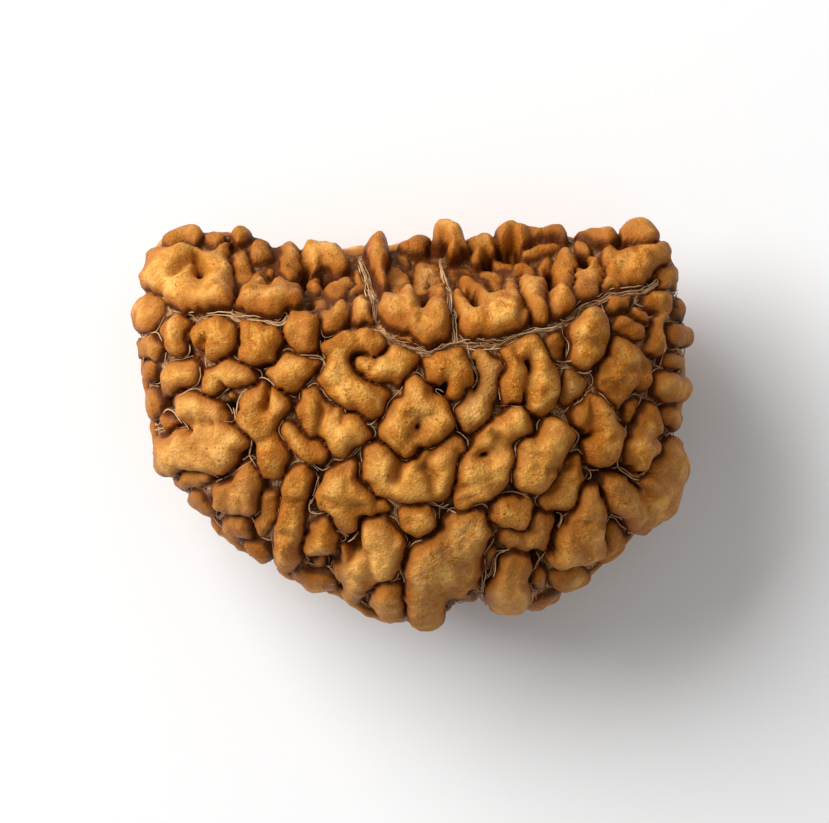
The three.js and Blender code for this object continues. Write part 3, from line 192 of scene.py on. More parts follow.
    [-0.1, [[11.7, 0.9, 0.4], [11.6, 0.3, 0.3]]],
    [0.1, [[12.5, 0.4, 0.5], [12.6, -0.4, 0.75], [12.3, -1.4, 0.9], [12.1, -2.2, 0.6]]],
    [0.25, [[13.4, 2.1, 0.6], [13.9, 1.8, 0.6]]],
    [0, [[13.7, 3.4, 0.42], [13.75, 3.3, 0.42]]],
    [0, [[13.9, 0.4, 0.5], [13.95, 0.3, 0.5]]],
    [0.15, [[7.6, -0.5, 0.75], [7.1, -1.4, 1], [6.5, -2.5, 1], [6.3, -2.9, 0.95]]],
    [-0.1, [[8.5, -2.2, 0.3], [8.5, -3, 0.45], [8.1, -3.9, 0.65], [7.3, -4.2, 0.6]]],
    [0, [[5.1, -4.8, 0.85], [5.6, -5, 0.85]]],
    [-0.2, [[6.9, -5.1, 0.5], [6.7, -6.1, 0.7], [6.1, -6.5, 0.6], [5, -6.2, 0.5]]],
    [0, [[2.9, -5.8, 1.1], [2.4, -6.8, 1.3], [1.3, -7.5, 1.4], [1, -8.5, 1.4], [0.5, -9.5, 1.1]],
        [[2.6, -6.6, 1.3], [2.4, -7.9, 1.25], [2.1, -8.7, 1.1]]],
    [-0.1, [[2.2, -9.4, 0.5], [2.8, -9.3, 0.4]]],
    [-0.3, [[4.4, -7, 0.25], [3.9, -7.8, 0.35]]],
    [0, [[5.4, -7.6, 0.7], [5, -8.6, 1.05], [5.3, -9.2, 1]]],
    [0, [[6.8, -8.5, 0.4], [6.85, -8.4, 0.4]]],
    [0.15, [[9.6, -3.9, 0.5], [9.6, -4.6, 0.8], [9.4, -5.6, 1.1], [9, -6.4, 1.2], [8, -6.9, 0.8]]],
    [-0.1, [[7.7, -8.4, 0.5], [8.8, -8.3, 0.55]]],
    [-0.1, [[10.75, -5.7, 0.35], [10.65, -6.5, 0.4], [10.2, -7.3, 0.3]]],
    [0.1, [[13.8, -1.4, 0.5], [13.6, -2.6, 0.85], [13.2, -3.5, 0.95], [12.6, -4.3, 0.85],
        [11.9, -4.7, 0.7]], [[10.7, -3.4, 0.55], [11.1, -4, 0.75], [11.7, -4.6, 0.65]]],
    [0, [[10.9, 6.3, 0.4], [11.5, 6.4, 0.42]]],
    [0, [[12, 6.1, 0.45], [12.5, 5.6, 0.45]]],
    [0, [[12.7, 6.7, 0.4], [13.4, 6.5, 0.55], [13.6, 6, 0.5], [13.3, 5.6, 0.45], [13.1, 4.8, 0.5],
        [12.9, 4, 0.5]]],
    [-0.1, [[11.3, 5.4, 0.5], [12, 5, 0.5]]],
    [0, [[14.4, 6.3, 0.3], [14.3, 5.7, 0.35]]],
    [0.1, [[14.2, 5.2, 0.4], [14.4, 4.8, 0.5]]],
]

# Deep holes and slits that the lobes leave open, from end to end: [x, y, x, y, half-width, depth].
PITS = [
    [-11.55, 8.1, -11.45, 7.75, 0.14, 1], [-5.85, 7.6, -5.85, 8.6, 0.16, 1.6],
    [-4.9, 7.8, -4.25, 7.85, 0.2, 1.5], [-5.6, 6.8, -5.4, 6.6, 0.2, 1], [0.6, 6.3, 0.8, 6.8, 0.22, 1.2],
    [0.85, 7.75, 1.25, 7.75, 0.12, 0.9], [2.3, 7.4, 2.05, 6.9, 0.2, 1.4], [2.25, 5.4, 2.3, 5.9, 0.15, 0.9],
    [3, 6.7, 3.3, 6.25, 0.2, 1.2], [2.9, 7.1, 3, 7.05, 0.15, 0.8], [3.9, 8.9, 4.1, 8.8, 0.2, 1.2],
    [4.8, 9.1, 5.4, 9.1, 0.25, 1.3], [7.35, 8.1, 7.4, 7.3, 0.25, 1.6], [9.2, 8.7, 9.15, 8.4, 0.2, 1.2],
    [12.5, 5.1, 12.7, 4.95, 0.15, 0.9], [-13.2, 1.1, -13, 0.8, 0.17, 0.8],
    [-9.85, 0.85, -9.6, 0.6, 0.18, 0.9], [-9, -1.7, -8.8, -1.3, 0.15, 0.8], [-5.2, -2.4, -5, -3, 0.18, 0.9],
    [-5.45, -4.1, -5.35, -4.7, 0.2, 0.9], [-3.2, -6.2, -3, -6.6, 0.35, 0.5], [1.3, 1.7, 1.5, 2, 0.2, 1.3],
    [6, 3.3, 6.02, 1, 0.12, 0.8], [11.8, 1.7, 12, 1.45, 0.15, 0.8], [8.9, -0.85, 9.4, -0.65, 0.16, 1],
    [6.5, -7.3, 6.7, -7.8, 0.28, 1.4], [7.75, -5.2, 7.45, -6.6, 0.25, 1.3],
    [10.8, -5.2, 11.2, -5.4, 0.2, 0.9], [9.3, -2.6, 9.7, -2.9, 0.2, 0.8],
    [10.2, -2.45, 11.5, -2.55, 0.2, 0.9], [11.5, -2.6, 12.9, -2.9, 0.1, 0.6],
    [11.4, -3.05, 12.5, -3.8, 0.1, 0.6], [10.05, -3.5, 10.15, -3.95, 0.12, 0.8],
    [13.2, -0.9, 13.4, -0.7, 0.12, 0.8], [13.1, 7.9, 12.1, 6.95, 0.12, 0.6],
    [4.7, -7.4, 3.6, -8.8, 0.12, 0.6], [3.3, 3.4, 3.25, 1.7, 0.1, 0.5],
    [0.15, -0.35, 0.36, -0.3, 0.11, 0.8], [0.4, -2.4, 1, -2.8, 0.06, 0.5],
    [-10.2, 2.1, -10.1, 1.8, 0.1, 0.5], [3.6, -1.7, 3.95, -1.75, 0.12, 0.9],
    [-11.95, -0.5, -11.85, -0.45, 0.1, 0.5],
]

# Shallow creases across lobes, from end to end: [x, y, x, y, half-width, depth].
CREASES = [
    [-11.7, 8.8, -11.35, 7.9, 0.22, 0.9], [-12.9, 7.9, -11.8, 8.5, 0.22, 0.65],
    [-11.2, 7.5, -11.5, 7, 0.3, 0.3], [-7.9, 8.1, -7.85, 7, 0.2, 0.8], [-4.2, 1.9, -3.6, 2.5, 0.4, 0.25],
    [-4.6, 3.3, -3.9, 3.1, 0.3, 0.35], [-4.9, 0.9, -4.95, -0.5, 0.2, 0.6],
    [-3.8, 0.6, -3.75, -0.1, 0.2, 0.35], [-12, -0.4, -12.8, -0.9, 0.18, 0.45],
    [-12.4, 0, -11, -0.1, 0.3, 0.35], [-10.9, 0, -10.9, -1, 0.35, 0.3],
    [-11.3, -1.4, -10.6, -2.3, 0.3, 0.25], [-7.85, 2.1, -7.85, 0.9, 0.18, 0.8],
    [-7.85, 0.9, -7.75, -0.4, 0.35, 0.3], [-8.5, -1, -7.2, -0.75, 0.28, 0.4],
    [-0.4, -1.1, 0.7, -0.2, 0.35, 0.35], [-1.3, 0.9, -0.3, 0.3, 0.3, 0.35], [0.9, 0.5, 0.3, 0, 0.3, 0.35],
    [-0.75, -1.5, -0.8, -3, 0.22, 0.9], [0.9, -2.9, 1.4, -3.9, 0.3, 0.3], [1, -1.3, 0.5, -2.4, 0.2, 0.5],
    [3.2, -1.5, 4.6, -1.4, 0.35, 0.35], [4.5, -0.7, 5.6, -1.4, 0.25, 0.6], [2.2, -3.6, 3, -3.2, 0.2, 0.4],
    [7.1, -2.6, 8.3, -2.3, 0.22, 0.6], [6.1, -1.7, 7.5, -1.9, 0.35, 0.2], [8.6, 4.1, 9.8, 4.2, 0.4, 0.3],
    [11.2, 2.9, 12.4, 3, 0.35, 0.4], [10.2, 2.2, 10.9, 1.6, 0.3, 0.4], [9.45, 1.2, 9.5, -0.6, 0.25, 0.45],
    [12, -0.6, 13, -1, 0.35, 0.35], [12.7, -2, 14, -3.3, 0.4, 0.3], [8.7, -5, 10.7, -5.1, 0.22, 0.35],
    [11.9, -3.7, 13, -5.2, 0.35, 0.3], [5.8, -5.9, 6.1, -6.9, 0.2, 0.35], [5.6, -7.2, 5.3, -8.6, 0.3, 0.2],
    [-4.4, -4, -3, -4.4, 0.35, 0.35], [-3.5, -2.2, -3.4, -3.4, 0.25, 0.25],
    [-7.2, -4.3, -6, -4.1, 0.3, 0.35], [-7.4, -5.9, -6.2, -5.8, 0.3, 0.25],
    [-2.3, -6.7, -2.3, -8.4, 0.28, 0.5], [1.3, -6.5, 3, -7.3, 0.45, 0.25],
    [-0.1, -8.6, 1.4, -8.9, 0.5, 0.25], [5.75, 5, 5.7, 6.2, 0.18, 0.6], [4.1, 4.6, 4.1, 5.9, 0.3, 0.2],
    [0.6, 4.6, 0.5, 6.1, 0.4, 0.25], [12, 9.2, 11.2, 7.8, 0.3, 0.35], [-11.1, 4.5, -11.2, 3.8, 0.16, 0.6],
    [-9.8, -3.5, -9.9, -4.8, 0.35, 0.3], [-6, 4.2, -6.1, 5.5, 0.3, 0.2], [5.3, 4.2, 5.6, 3.4, 0.2, 0.35],
    [2.9, 5, 3.1, 6.2, 0.3, 0.2], [8.2, 8.4, 8, 7.7, 0.25, 0.3], [6.3, 10.6, 6.3, 9.6, 0.25, 0.35],
]

# Lobes that are dull and dusty, as if rubbed with dry flesh: a place on each, and how dusty it is.
DUSTY = [
    [0.6, 8.2, 0.9], [4.1, 8, 0.7], [4.1, 2.6, 0.55], [8.5, 1.9, 0.6], [6.7, -5.9, 0.3], [8.2, -8.3, 0.45],
    [10.6, -6.4, 0.45], [-8.4, 9.5, 0.5], [-7.4, 9.1, 0.4], [-6.7, 8.5, 0.4], [-3.5, 9, 0.5], [1, -8, 0.5],
    [-12, -1.8, 0.3], [9.3, -5.4, 0.2], [-9.6, -4.2, 0.3], [-1.6, -7.5, 0.25], [5.1, -8.6, 0.2],
    [13.6, -2.6, 0.2],
]

# Furrows that stay open between the lobes: strokes of [x, y, half-width].
FURROWS = [
    [[-12, 5.85, 0.12], [-9.7, 5.95, 0.14], [-9.3, 5.7, 0.2], [-8.2, 5.65, 0.12], [-7.1, 5.35, 0.14],
        [-6.7, 5.75, 0.12]],
    [[-3.4, 5, 0.12], [-1.9, 5.1, 0.2], [-1.3, 4.5, 0.16], [0, 4, 0.16], [0.7, 3.8, 0.16], [2.2, 4.2, 0.2],
        [3.5, 4.3, 0.25], [4.6, 4.3, 0.2], [5.5, 4.7, 0.14], [6.5, 5, 0.14], [7.5, 5.1, 0.14],
        [8.3, 5.7, 0.14], [9, 6.3, 0.16], [10, 6.6, 0.16], [10.6, 6.9, 0.16], [11.5, 7.1, 0.14],
        [12.3, 7.1, 0.14], [13.2, 7.6, 0.12]],
    [[-2.9, 8.8, 0.12], [-2.5, 8, 0.16], [-2.3, 7.2, 0.18], [-2, 6.6, 0.18], [-1.9, 5.4, 0.16]],
    [[1.46, 9, 0.14], [1.76, 7.7, 0.16], [2.05, 7.1, 0.16], [2.05, 5.95, 0.14], [2.1, 5.06, 0.14],
        [2.2, 4.3, 0.16]],
]

# Threads that stray over the lobes, seen from the front: strokes of [x, y].
STRAYS = [
    [[1, -4.5], [1.15, -4.75], [1.2, -5.1]],
    [[1.4, -4.5], [1.8, -4.55], [2.3, -4.8]],
    [[4.8, -3.7], [5.3, -3.65], [5.8, -3.8], [6.2, -4]],
    [[11.4, -3], [11.7, -3.05], [12, -3.2], [12.25, -3.45], [12.4, -3.7]],
    [[-9.9, -2.9], [-9.5, -2.6], [-9.1, -2.3], [-8.7, -2.1], [-8.3, -1.7]],
    [[-13, 3.5], [-12.5, 3.5], [-12, 3.6]],
    [[-11.4, 3], [-11.35, 2.5], [-11.5, 2.1], [-12.1, 1.7], [-12.8, 1.3]],
    [[4.5, 0.9], [5.1, 0.95], [5.6, 0.85], [6.2, 0.9]],
    [[7.6, 3.3], [8, 3.25], [8.4, 3.3]],
    [[7.6, 2.9], [8, 3], [8.4, 2.9]],
    [[13.2, 3], [13.3, 3.4], [13.5, 4.1]],
    [[-10.1, 0.1], [-9.7, 0.05], [-9.4, 0.2]],
    [[3.1, 4.3], [3.5, 4.1], [3.9, 4.2]],
]


def soft_max(a: Array, b: Array, blend: float | Array) -> Array:
    """The larger of two fields, rounded over where they are within `blend` of each other.

    Args:
        a: One field.
        b: The other field.
        blend: Width of the rounding, in the fields' own unit.

    Returns:
        The rounded maximum.
    """
    near = np.maximum(blend - np.abs(a - b), 0.0) / blend
    return np.maximum(a, b) + near * near * (blend / 4)


def unit_rows(rows: Array) -> Array:
    """Each row of an array scaled to length one."""
    return rows / np.maximum(np.linalg.norm(rows, axis=-1, keepdims=True), 1e-9)


def bell(away: Array, half_width: float) -> Array:
    """A rounded groove's share of its full depth, some way from its middle."""
    return np.exp(-(away / half_width) ** 2)


def past_oval(at: tuple[Array, Array], half: tuple[Array, Array], fullness: float | Array,
              least: float) -> tuple[Array, Array]:
    """How far places lie past the edge of a rounded oval.

    Args:
        at: Each place's two distances from the middle, as shares of the half-sizes.
        half: The two half-sizes.
        fullness: 2 for an ellipse, more for a boxier oval.
        least: The least share that counts, which keeps the middle's slope finite.

    Returns:
        The share by which each is past the edge, and how steeply it grows there.
    """
    (u, v), n = at, fullness
    s = np.maximum((u ** n + v ** n) ** (1 / n), least)
    return s - 1, np.hypot((u / s) ** (n - 1) / half[0], (v / s) ** (n - 1) / half[1])


def ripple(points: Array, wavelength: float, seed: int, waves: int = 14) -> Array:
    """A smooth random field made of plane waves.

    Args:
        points: Places, one a row.
        wavelength: The waves' middle length.
        seed: Seed of the random draw.
        waves: How many waves are added.

    Returns:
        The field at each place, about -1 to 1 and nought on average.
    """
    rng = np.random.default_rng(seed)
    ways = unit_rows(rng.normal(size=(waves, 3)))
    ways *= (2 * math.pi / wavelength * rng.uniform(0.7, 1.4, size=(waves, 1)))
    phases = rng.uniform(0, 2 * math.pi, size=waves)
    total = np.zeros(len(points), dtype=np.float32)
    for way, phase in zip(ways.astype(np.float32), phases):
        total += np.sin(points @ way + np.float32(phase))
    return total / math.sqrt(waves)


@dataclass(frozen=True)
class BackRun:
    """One size of the back's lobes.

    Its seats are the places tried, and a lobe is laid where it has its room, a share of its half-width.
    """

    half_width: float
    bends: int
    stride: float
    seats: int
    room: float


# Lobes of the back and the flanks, placed by rule, the largest first.
BACK_RUNS = (
    BackRun(0.95, 3, 1.5, 500, 0.75),
    BackRun(0.75, 2, 1.2, 900, 0.75),
    BackRun(0.55, 1, 0.8, 1600, 0.8),
    BackRun(0.4, 1, 0.4, 2600, 0.75),
)


@dataclass(frozen=True)
class Core:
    """The stone's smooth core, whose surface is the floor of the furrows.

    It is a rounded body on the plan. `rim` and `lean` place the narrow face along the straight side, and
    `waist` and `tuck` the side under it, each as a point in Y and Z and its slope in degrees.
    """

    centre: Place = (0.0, 1.0, 7.7)
    front_depth: float = 6.6
    front_fullness: float = 2.1
    back_depth: float = 6.7
    back_fullness: float = 2.5
    rim: Pair = (5.2, 13.9)
    lean: float = 54.0
    waist: Pair = (11.2, 8.0)
    tuck: float = 55.0
    face_blend: float = 1.4
    hollow_at: Pair = (7.9, 10.8)
    hollow_reach: float = 2.2
    hollow_depth: float = 0.8
    lobe_depth: float = 0.85
    under_share: float = 0.8
    under_from: float = 0.5
    inner_size: Place = (14.0, 10.5, 7.5)

    def plan_radius(self, turn: Array) -> Array:
        """Radius of the core's plan in each direction.

        Args:
            turn: Directions in radians, anticlockwise from +X.

        Returns:
            The radii, on a smooth closed curve through CORE_PLAN.
        """
        plan = np.array(CORE_PLAN) - self.centre[:2]
        turns = np.arctan2(plan[:, 1], plan[:, 0])
        order = np.argsort(turns)
        turns, radii = turns[order], np.hypot(*plan.T)[order]
        whole = 2 * math.pi
        turns = np.concatenate([turns[-2:] - whole, turns, turns[:2] + whole])
        radii = np.concatenate([radii[-2:], radii, radii[:2]])
        c = np.searchsorted(turns, turn, side="right")
        a, b, d = c - 2, c - 1, c + 1
        span = turns[c] - turns[b]
        t = (turn - turns[b]) / span
        slope_b = (radii[c] - radii[a]) / (turns[c] - turns[a]) * span
        slope_c = (radii[d] - radii[b]) / (turns[d] - turns[b]) * span
        t2, t3 = t * t, t * t * t
        return (radii[b] * (2 * t3 - 3 * t2 + 1) + slope_b * (t3 - 2 * t2 + t)
                + radii[c] * (3 * t2 - 2 * t3) + slope_c * (t3 - t2))

    def height(self, points: Array) -> Array:
        """Height of places above the core's surface, negative inside it.

        Args:
            points: The places, with X, Y and Z last.

        Returns:
            The heights, nearly in millimetres close to the surface.
        """
        dx, dy, dz = (points[..., i] - self.centre[i] for i in range(3))
        radius = self.plan_radius(np.arctan2(dy, dx))
        upper = dz > 0
        half = np.where(upper, self.front_depth, self.back_depth)
        p = np.where(upper, self.front_fullness, self.back_fullness)
        past, slope = past_oval((np.hypot(dx, dy) / radius, np.abs(dz) / half), (radius, half), p, 1e-6)
        body = past / slope
        lean, tuck = math.radians(self.lean), math.radians(self.tuck)
        y, z = points[..., 1], points[..., 2]
        face = (y - self.rim[0]) * math.sin(lean) + (z - self.rim[1]) * math.cos(lean)
        under = (y - self.waist[0]) * math.sin(tuck) - (z - self.waist[1]) * math.cos(tuck)
        off = np.hypot(y - self.hollow_at[0], z - self.hollow_at[1])
        body = soft_max(soft_max(body, face, self.face_blend), under, self.face_blend)
        return body + self.hollow_depth * bell(off, self.hollow_reach)

    def normal(self, points: Array, step: float = 0.02) -> Array:
        """Outward direction of the core's surface at places near it.

        Args:
            points: The places, with X, Y and Z last.
            step: How far to each side of them the height is taken.

        Returns:
            The directions, of length one.
        """
        slopes = []
        for axis in range(3):
            shift = np.zeros(3)
            shift[axis] = step
            slopes.append(self.height(points + shift) - self.height(points - shift))
        return unit_rows(np.stack(slopes, axis=-1))

    def foot(self, points: Array, rounds: int = 4) -> Array:
        """The core's own points under places.

        Args:
            points: The places, with X, Y and Z last.
            rounds: How often they are moved to the surface.

        Returns:
            The points.
        """
        for _ in range(rounds):
            points = points - self.normal(points) * self.height(points)[..., None]
        return points

    def seen(self, foot: Array, normal: Array) -> Array:
        """Where points of the core show on the front.

        Args:
            foot: Points of the core.
            normal: The core's outward directions there.

        Returns:
            X and Y of the lobes' tops over them, and a third number that grows below the widest line,
            so that what shows on the front doesn't repeat on the back.
        """
        plan = foot[:, :2] + normal[:, :2] * self.lobe_depth
        under = np.maximum(self.centre[2] + self.under_from - foot[:, 2], 0) * self.under_share
        return np.column_stack([plan, under])

    def _way_out(self, low: Array, high: Array, place: Callable[[Array], Array], halvings: int) -> Array:
        """How far along lines the core ends.

        Args:
            low: How far along each line is surely inside.
            high: How far is surely outside.
            place: Gives the points that lie so far along the lines.
            halvings: How often what lies between is halved.

        Returns:
            The last distances found inside.
        """
        for _ in range(halvings):
            middle = (low + high) / 2
            inside = self.height(place(middle)) < 0
            low, high = np.where(inside, middle, low), np.where(inside, high, middle)
        return low

    def foot_seen(self, plan: Array, rounds: int = 6, easing: float = 0.7, above: float = 9.0) -> Array:
        """The core's points that show at places of the front.

        Args:
            plan: X and Y of the places, one a row.
            rounds: How often the points are set right.
            easing: How far each time.
            above: A height over the centre that is outside everywhere.

        Returns:
            The points.
        """
        at, middle = plan.copy(), np.full(len(plan), self.centre[2])
        for _ in range(rounds):
            top = self._way_out(middle, middle + above, lambda z: np.column_stack([at, z]), halvings=18)
            foot = self.foot(np.column_stack([at, top]))
            at = at + (plan - foot[:, :2] - self.normal(foot)[:, :2] * self.lobe_depth) * easing
        return foot

    def seats(self, count: int) -> Array:
        """Points spread evenly over the core by the golden angle.

        Args:
            count: How many.

        Returns:
            The points, one a row.
        """
        i = np.arange(count)
        golden = math.pi * (3 - math.sqrt(5))
        up = 1 - (2 * i + 1) / count
        out = np.sqrt(1 - up * up)
        x, y, z = self.inner_size
        rays = np.column_stack([x * out * np.cos(golden * i), y * out * np.sin(golden * i), z * up])
        centre = np.array(self.centre)
        twice = np.full(count, 2.0)
        far = self._way_out(np.zeros(count), twice, lambda t: centre + rays * t[:, None], halvings=26)
        return centre + rays * far[:, None]


class SteadyDraws:
    """A minimal random generator, so that the back's lobes are the same in every run."""

    factor = 16807
    modulus = 2147483647

    def __init__(self, seed: int) -> None:
        """Starts the generator from a seed."""
        self.state = seed

    def draw(self) -> float:
        """The next number from 0 to 1."""
        self.state = (self.state * self.factor) % self.modulus
        return self.state / self.modulus


@dataclass
class LobeField:
    """All lobes as strokes over the core, and the distances that shape them.

    The back's sizes and widths are drawn: a pair is the least share and how much a draw adds to it. Its
    lobes stand lower towards the side and the straight side, so that the outline stays as the front has it.
    """

    core: Core
    height_base: float = 1.0
    height_by_width: float = 0.6
    back_seed: int = 7919
    back_below: float = -0.2
    bare_beyond_y: float = 5.5
    bare_from_lobes: float = 0.75
    side_drop: float = 0.55
    side_reach: float = 4.5
    straight_drop: float = 0.5
    straight_from_z: float = 3.5
    straight_reach: float = 2.5
    most_curl: float = 2.4
    size_draw: Pair = (0.85, 0.3)
    width_draw: Pair = (0.8, 0.4)
    height_draw: float = 0.15
    width_blend: float = 0.25
    cell: float = 1.0
    cells_across: int = 4096
    slack: float = 0.01
    starts: list[Array] = field(default_factory=list)
    ends: list[Array] = field(default_factory=list)
    widths: list[Pair] = field(default_factory=list)
    owner: list[int] = field(default_factory=list)
    extra: list[float] = field(default_factory=list)

    def __post_init__(self) -> None:
        """Lays the front's lobes where they are seen, then the back's by rule."""
        for extra, *strokes in FRONT_LOBES:
            self._lay(extra, [self._front_stroke(np.array(stroke)) for stroke in strokes])
        self.front_count = len(self.extra)
        self._freeze()
        draw = SteadyDraws(self.back_seed).draw
        for run in BACK_RUNS:
            self._lay_back(run, draw)

    def tops(self, near: Near) -> Array:
        """How far the nearest lobes stand above the core, from their half-widths and their own extras."""
        extra = np.array(self.extra, np.float32)[near["lobe"]]
        return self.height_base + self.height_by_width * near["width"] + extra

    def _front_stroke(self, rows: Array) -> tuple[Array, Array]:
        """A front stroke's points, in the front's own plan, and their half-widths."""
        return np.column_stack([rows[:, :2], np.zeros(len(rows))]), rows[:, 2]

    def _lay(self, extra: float, strokes: list[tuple[Array, Array]]) -> None:
        """Adds one lobe.

        Args:
            extra: What it adds to its height.
            strokes: Each stroke's points on the core and their half-widths.
        """
        for points, widths in strokes:
            for i in range(len(points) - 1):
                self.starts.append(points[i])
                self.ends.append(points[i + 1])
                self.widths.append((widths[i], widths[i + 1]))
                self.owner.append(len(self.extra))
        self.extra.append(extra)

    def _freeze(self) -> None:
        """Keeps the strokes as arrays, for fast distances."""
        self.a, self.b = np.array(self.starts), np.array(self.ends)
        self.w, self.of = np.array(self.widths), np.array(self.owner)
        self.on_front = self.of < self.front_count

    def beside_each(self, points: Array, seen: Array, chosen: Array) -> tuple[Array, Array]:
        """Distances of places outside chosen stretches of stroke.

        Args:
            points: Points of the core, one a row.
            seen: Where they show on the front.
            chosen: Numbers of the stretches.

        Returns:
            The distances, and the strokes' half-widths at the nearest places: a row a point, a column a
            stretch.
        """
        run = self.b[chosen] - self.a[chosen]
        here = np.where(self.on_front[chosen][None, :, None], seen[:, None, :], points[:, None, :])
        away = here - self.a[chosen]
        t = np.clip((away * run).sum(-1) / np.maximum((run * run).sum(-1), 1e-9), 0, 1)
        width = self.w[chosen, 0] + (self.w[chosen, 1] - self.w[chosen, 0]) * t
        return np.linalg.norm(away - run * t[..., None], axis=-1) - width, width

    def _room_at(self, point: Array) -> float:
        """Distance from a point of the core to the nearest lobe's edge."""
        seen = self.core.seen(point[None], self.core.normal(point[None]))
        return float(self.beside_each(point[None], seen, np.arange(len(self.a)))[0].min())

    def _lay_back(self, run: BackRun, draw: Callable[[], float]) -> None:
        """Tries one size of lobe at every open seat of the back.

        Args:
            run: The size.
            draw: The random generator's draw.
        """
        places = self.core.seats(run.seats)
        for seat, normal in zip(places, self.core.normal(places)):
            spin, curl = draw() * 2 * math.pi, (draw() - 0.5) * self.most_curl
            size = run.half_width * (self.size_draw[0] + self.size_draw[1] * draw())
            extra = self.height_draw * (draw() - 0.5)
            widths = [size * (self.width_draw[0] + self.width_draw[1] * draw()) for _ in range(run.bends + 1)]
            under = normal[2] < self.back_below
            straight = seat[1] > self.bare_beyond_y
            beside = 1 - (self.core.centre[2] - seat[2]) / self.side_reach
            extra -= self.side_drop * min(1.0, max(0.0, beside))
            if straight:
                up = (seat[2] - self.straight_from_z) / self.straight_reach
                extra -= self.straight_drop * min(1.0, max(0.0, up))
            elif not under:
                continue
            free = self._room_at(seat)
            if free <= widths[0] * run.room or (not under and free <= self.bare_from_lobes):
                continue
            points = [seat]
            for i in range(1, run.bends + 1):
                points.append(self._next_point(points[-1], spin + curl * i, run.stride * size))
            if all(self._room_at(p) > w * run.room for p, w in zip(points[1:], widths[1:])):
                self._lay(extra, [(np.array(points), np.array(widths))])
                self._freeze()

    def _next_point(self, last: Array, turn: float, stride: float) -> Array:
        """The core's point one stride on from the last.

        Args:
            last: The last point.
            turn: The direction along the surface, in radians.
            stride: How far.

        Returns:
            The new point.
        """
        normal = self.core.normal(last)
        side = unit_rows(np.array([normal[1], -normal[0], 0.001]))
        ahead = np.cross(normal, side)
        return self.core.foot(last + (side * math.cos(turn) + ahead * math.sin(turn)) * stride)

    def nearest(self, points: Array, seen: Array) -> Near:
        """The nearest lobes at points of the core, cell by cell.

        Args:
            points: Points of the core, one a row.
            seen: Where they show on the front.

        Returns:
            The distances outside the nearest three lobes, the nearest one's half-width there, and its
            number.
        """
        cells = np.round(points / self.cell).astype(np.int64)
        keys = (cells[:, 0] * self.cells_across + cells[:, 1]) * self.cells_across + cells[:, 2]
        order = np.argsort(keys, kind="stable")
        cuts = np.flatnonzero(np.diff(keys[order])) + 1
        first, second, third, width = np.empty((4, len(points)), np.float32)
        lobe = np.empty(len(points), np.int32)
        for group in np.split(order, cuts):
            middle, seen_middle = points[group].mean(0), seen[group].mean(0)
            reach = np.linalg.norm(points[group] - middle, axis=1).max()
            reach = max(reach, np.linalg.norm(seen[group] - seen_middle, axis=1).max())
            beside = self.beside_each(middle[None], seen_middle[None], np.arange(len(self.a)))[0][0]
            per_lobe = np.full(len(self.extra), np.inf)
            np.minimum.at(per_lobe, self.of, beside)
            limit = np.partition(per_lobe, 2)[2] + 2 * reach + self.slack
            chosen = np.flatnonzero(beside <= limit)
            near, widths = self.beside_each(points[group], seen[group], chosen)
            starts = np.flatnonzero(np.r_[True, np.diff(self.of[chosen]) > 0])
            by_lobe = np.partition(np.minimum.reduceat(near, starts, axis=1), (1, 2), axis=1)
            best = near.argmin(1)
            rows = np.arange(len(group))
            first[group], lobe[group] = near[rows, best], self.of[chosen][best]
            own = np.exp((near[rows, best][:, None] - near) / self.width_blend)
            own *= self.of[chosen] == lobe[group][:, None]
            width[group] = (own * widths).sum(1) / own.sum(1)
            second[group], third[group] = by_lobe[:, 1], by_lobe[:, 2]
        return {"first": first, "second": second, "third": third, "width": width, "lobe": lobe}


class Join(Enum):
    """The ways in which a finish combines two values."""

    ADD = "ADD"
    SUBTRACT = "SUBTRACT"
    MULTIPLY = "MULTIPLY"
    LARGER = "MAXIMUM"


@dataclass(frozen=True)
class Fade:
    """How strongly something shows: `least` where a value is `low`, and smoothly to `most` at `high`."""

    low: float
    high: float
    most: float = 1.0
    least: float = 0.0


@dataclass(frozen=True)
class Clouds:
    """A cloudy mottling: the clouds' size in millimetres, their finer layers and how they are swirled."""

    length: float
    layers: float = 3.0
    swirl: float = 0.0


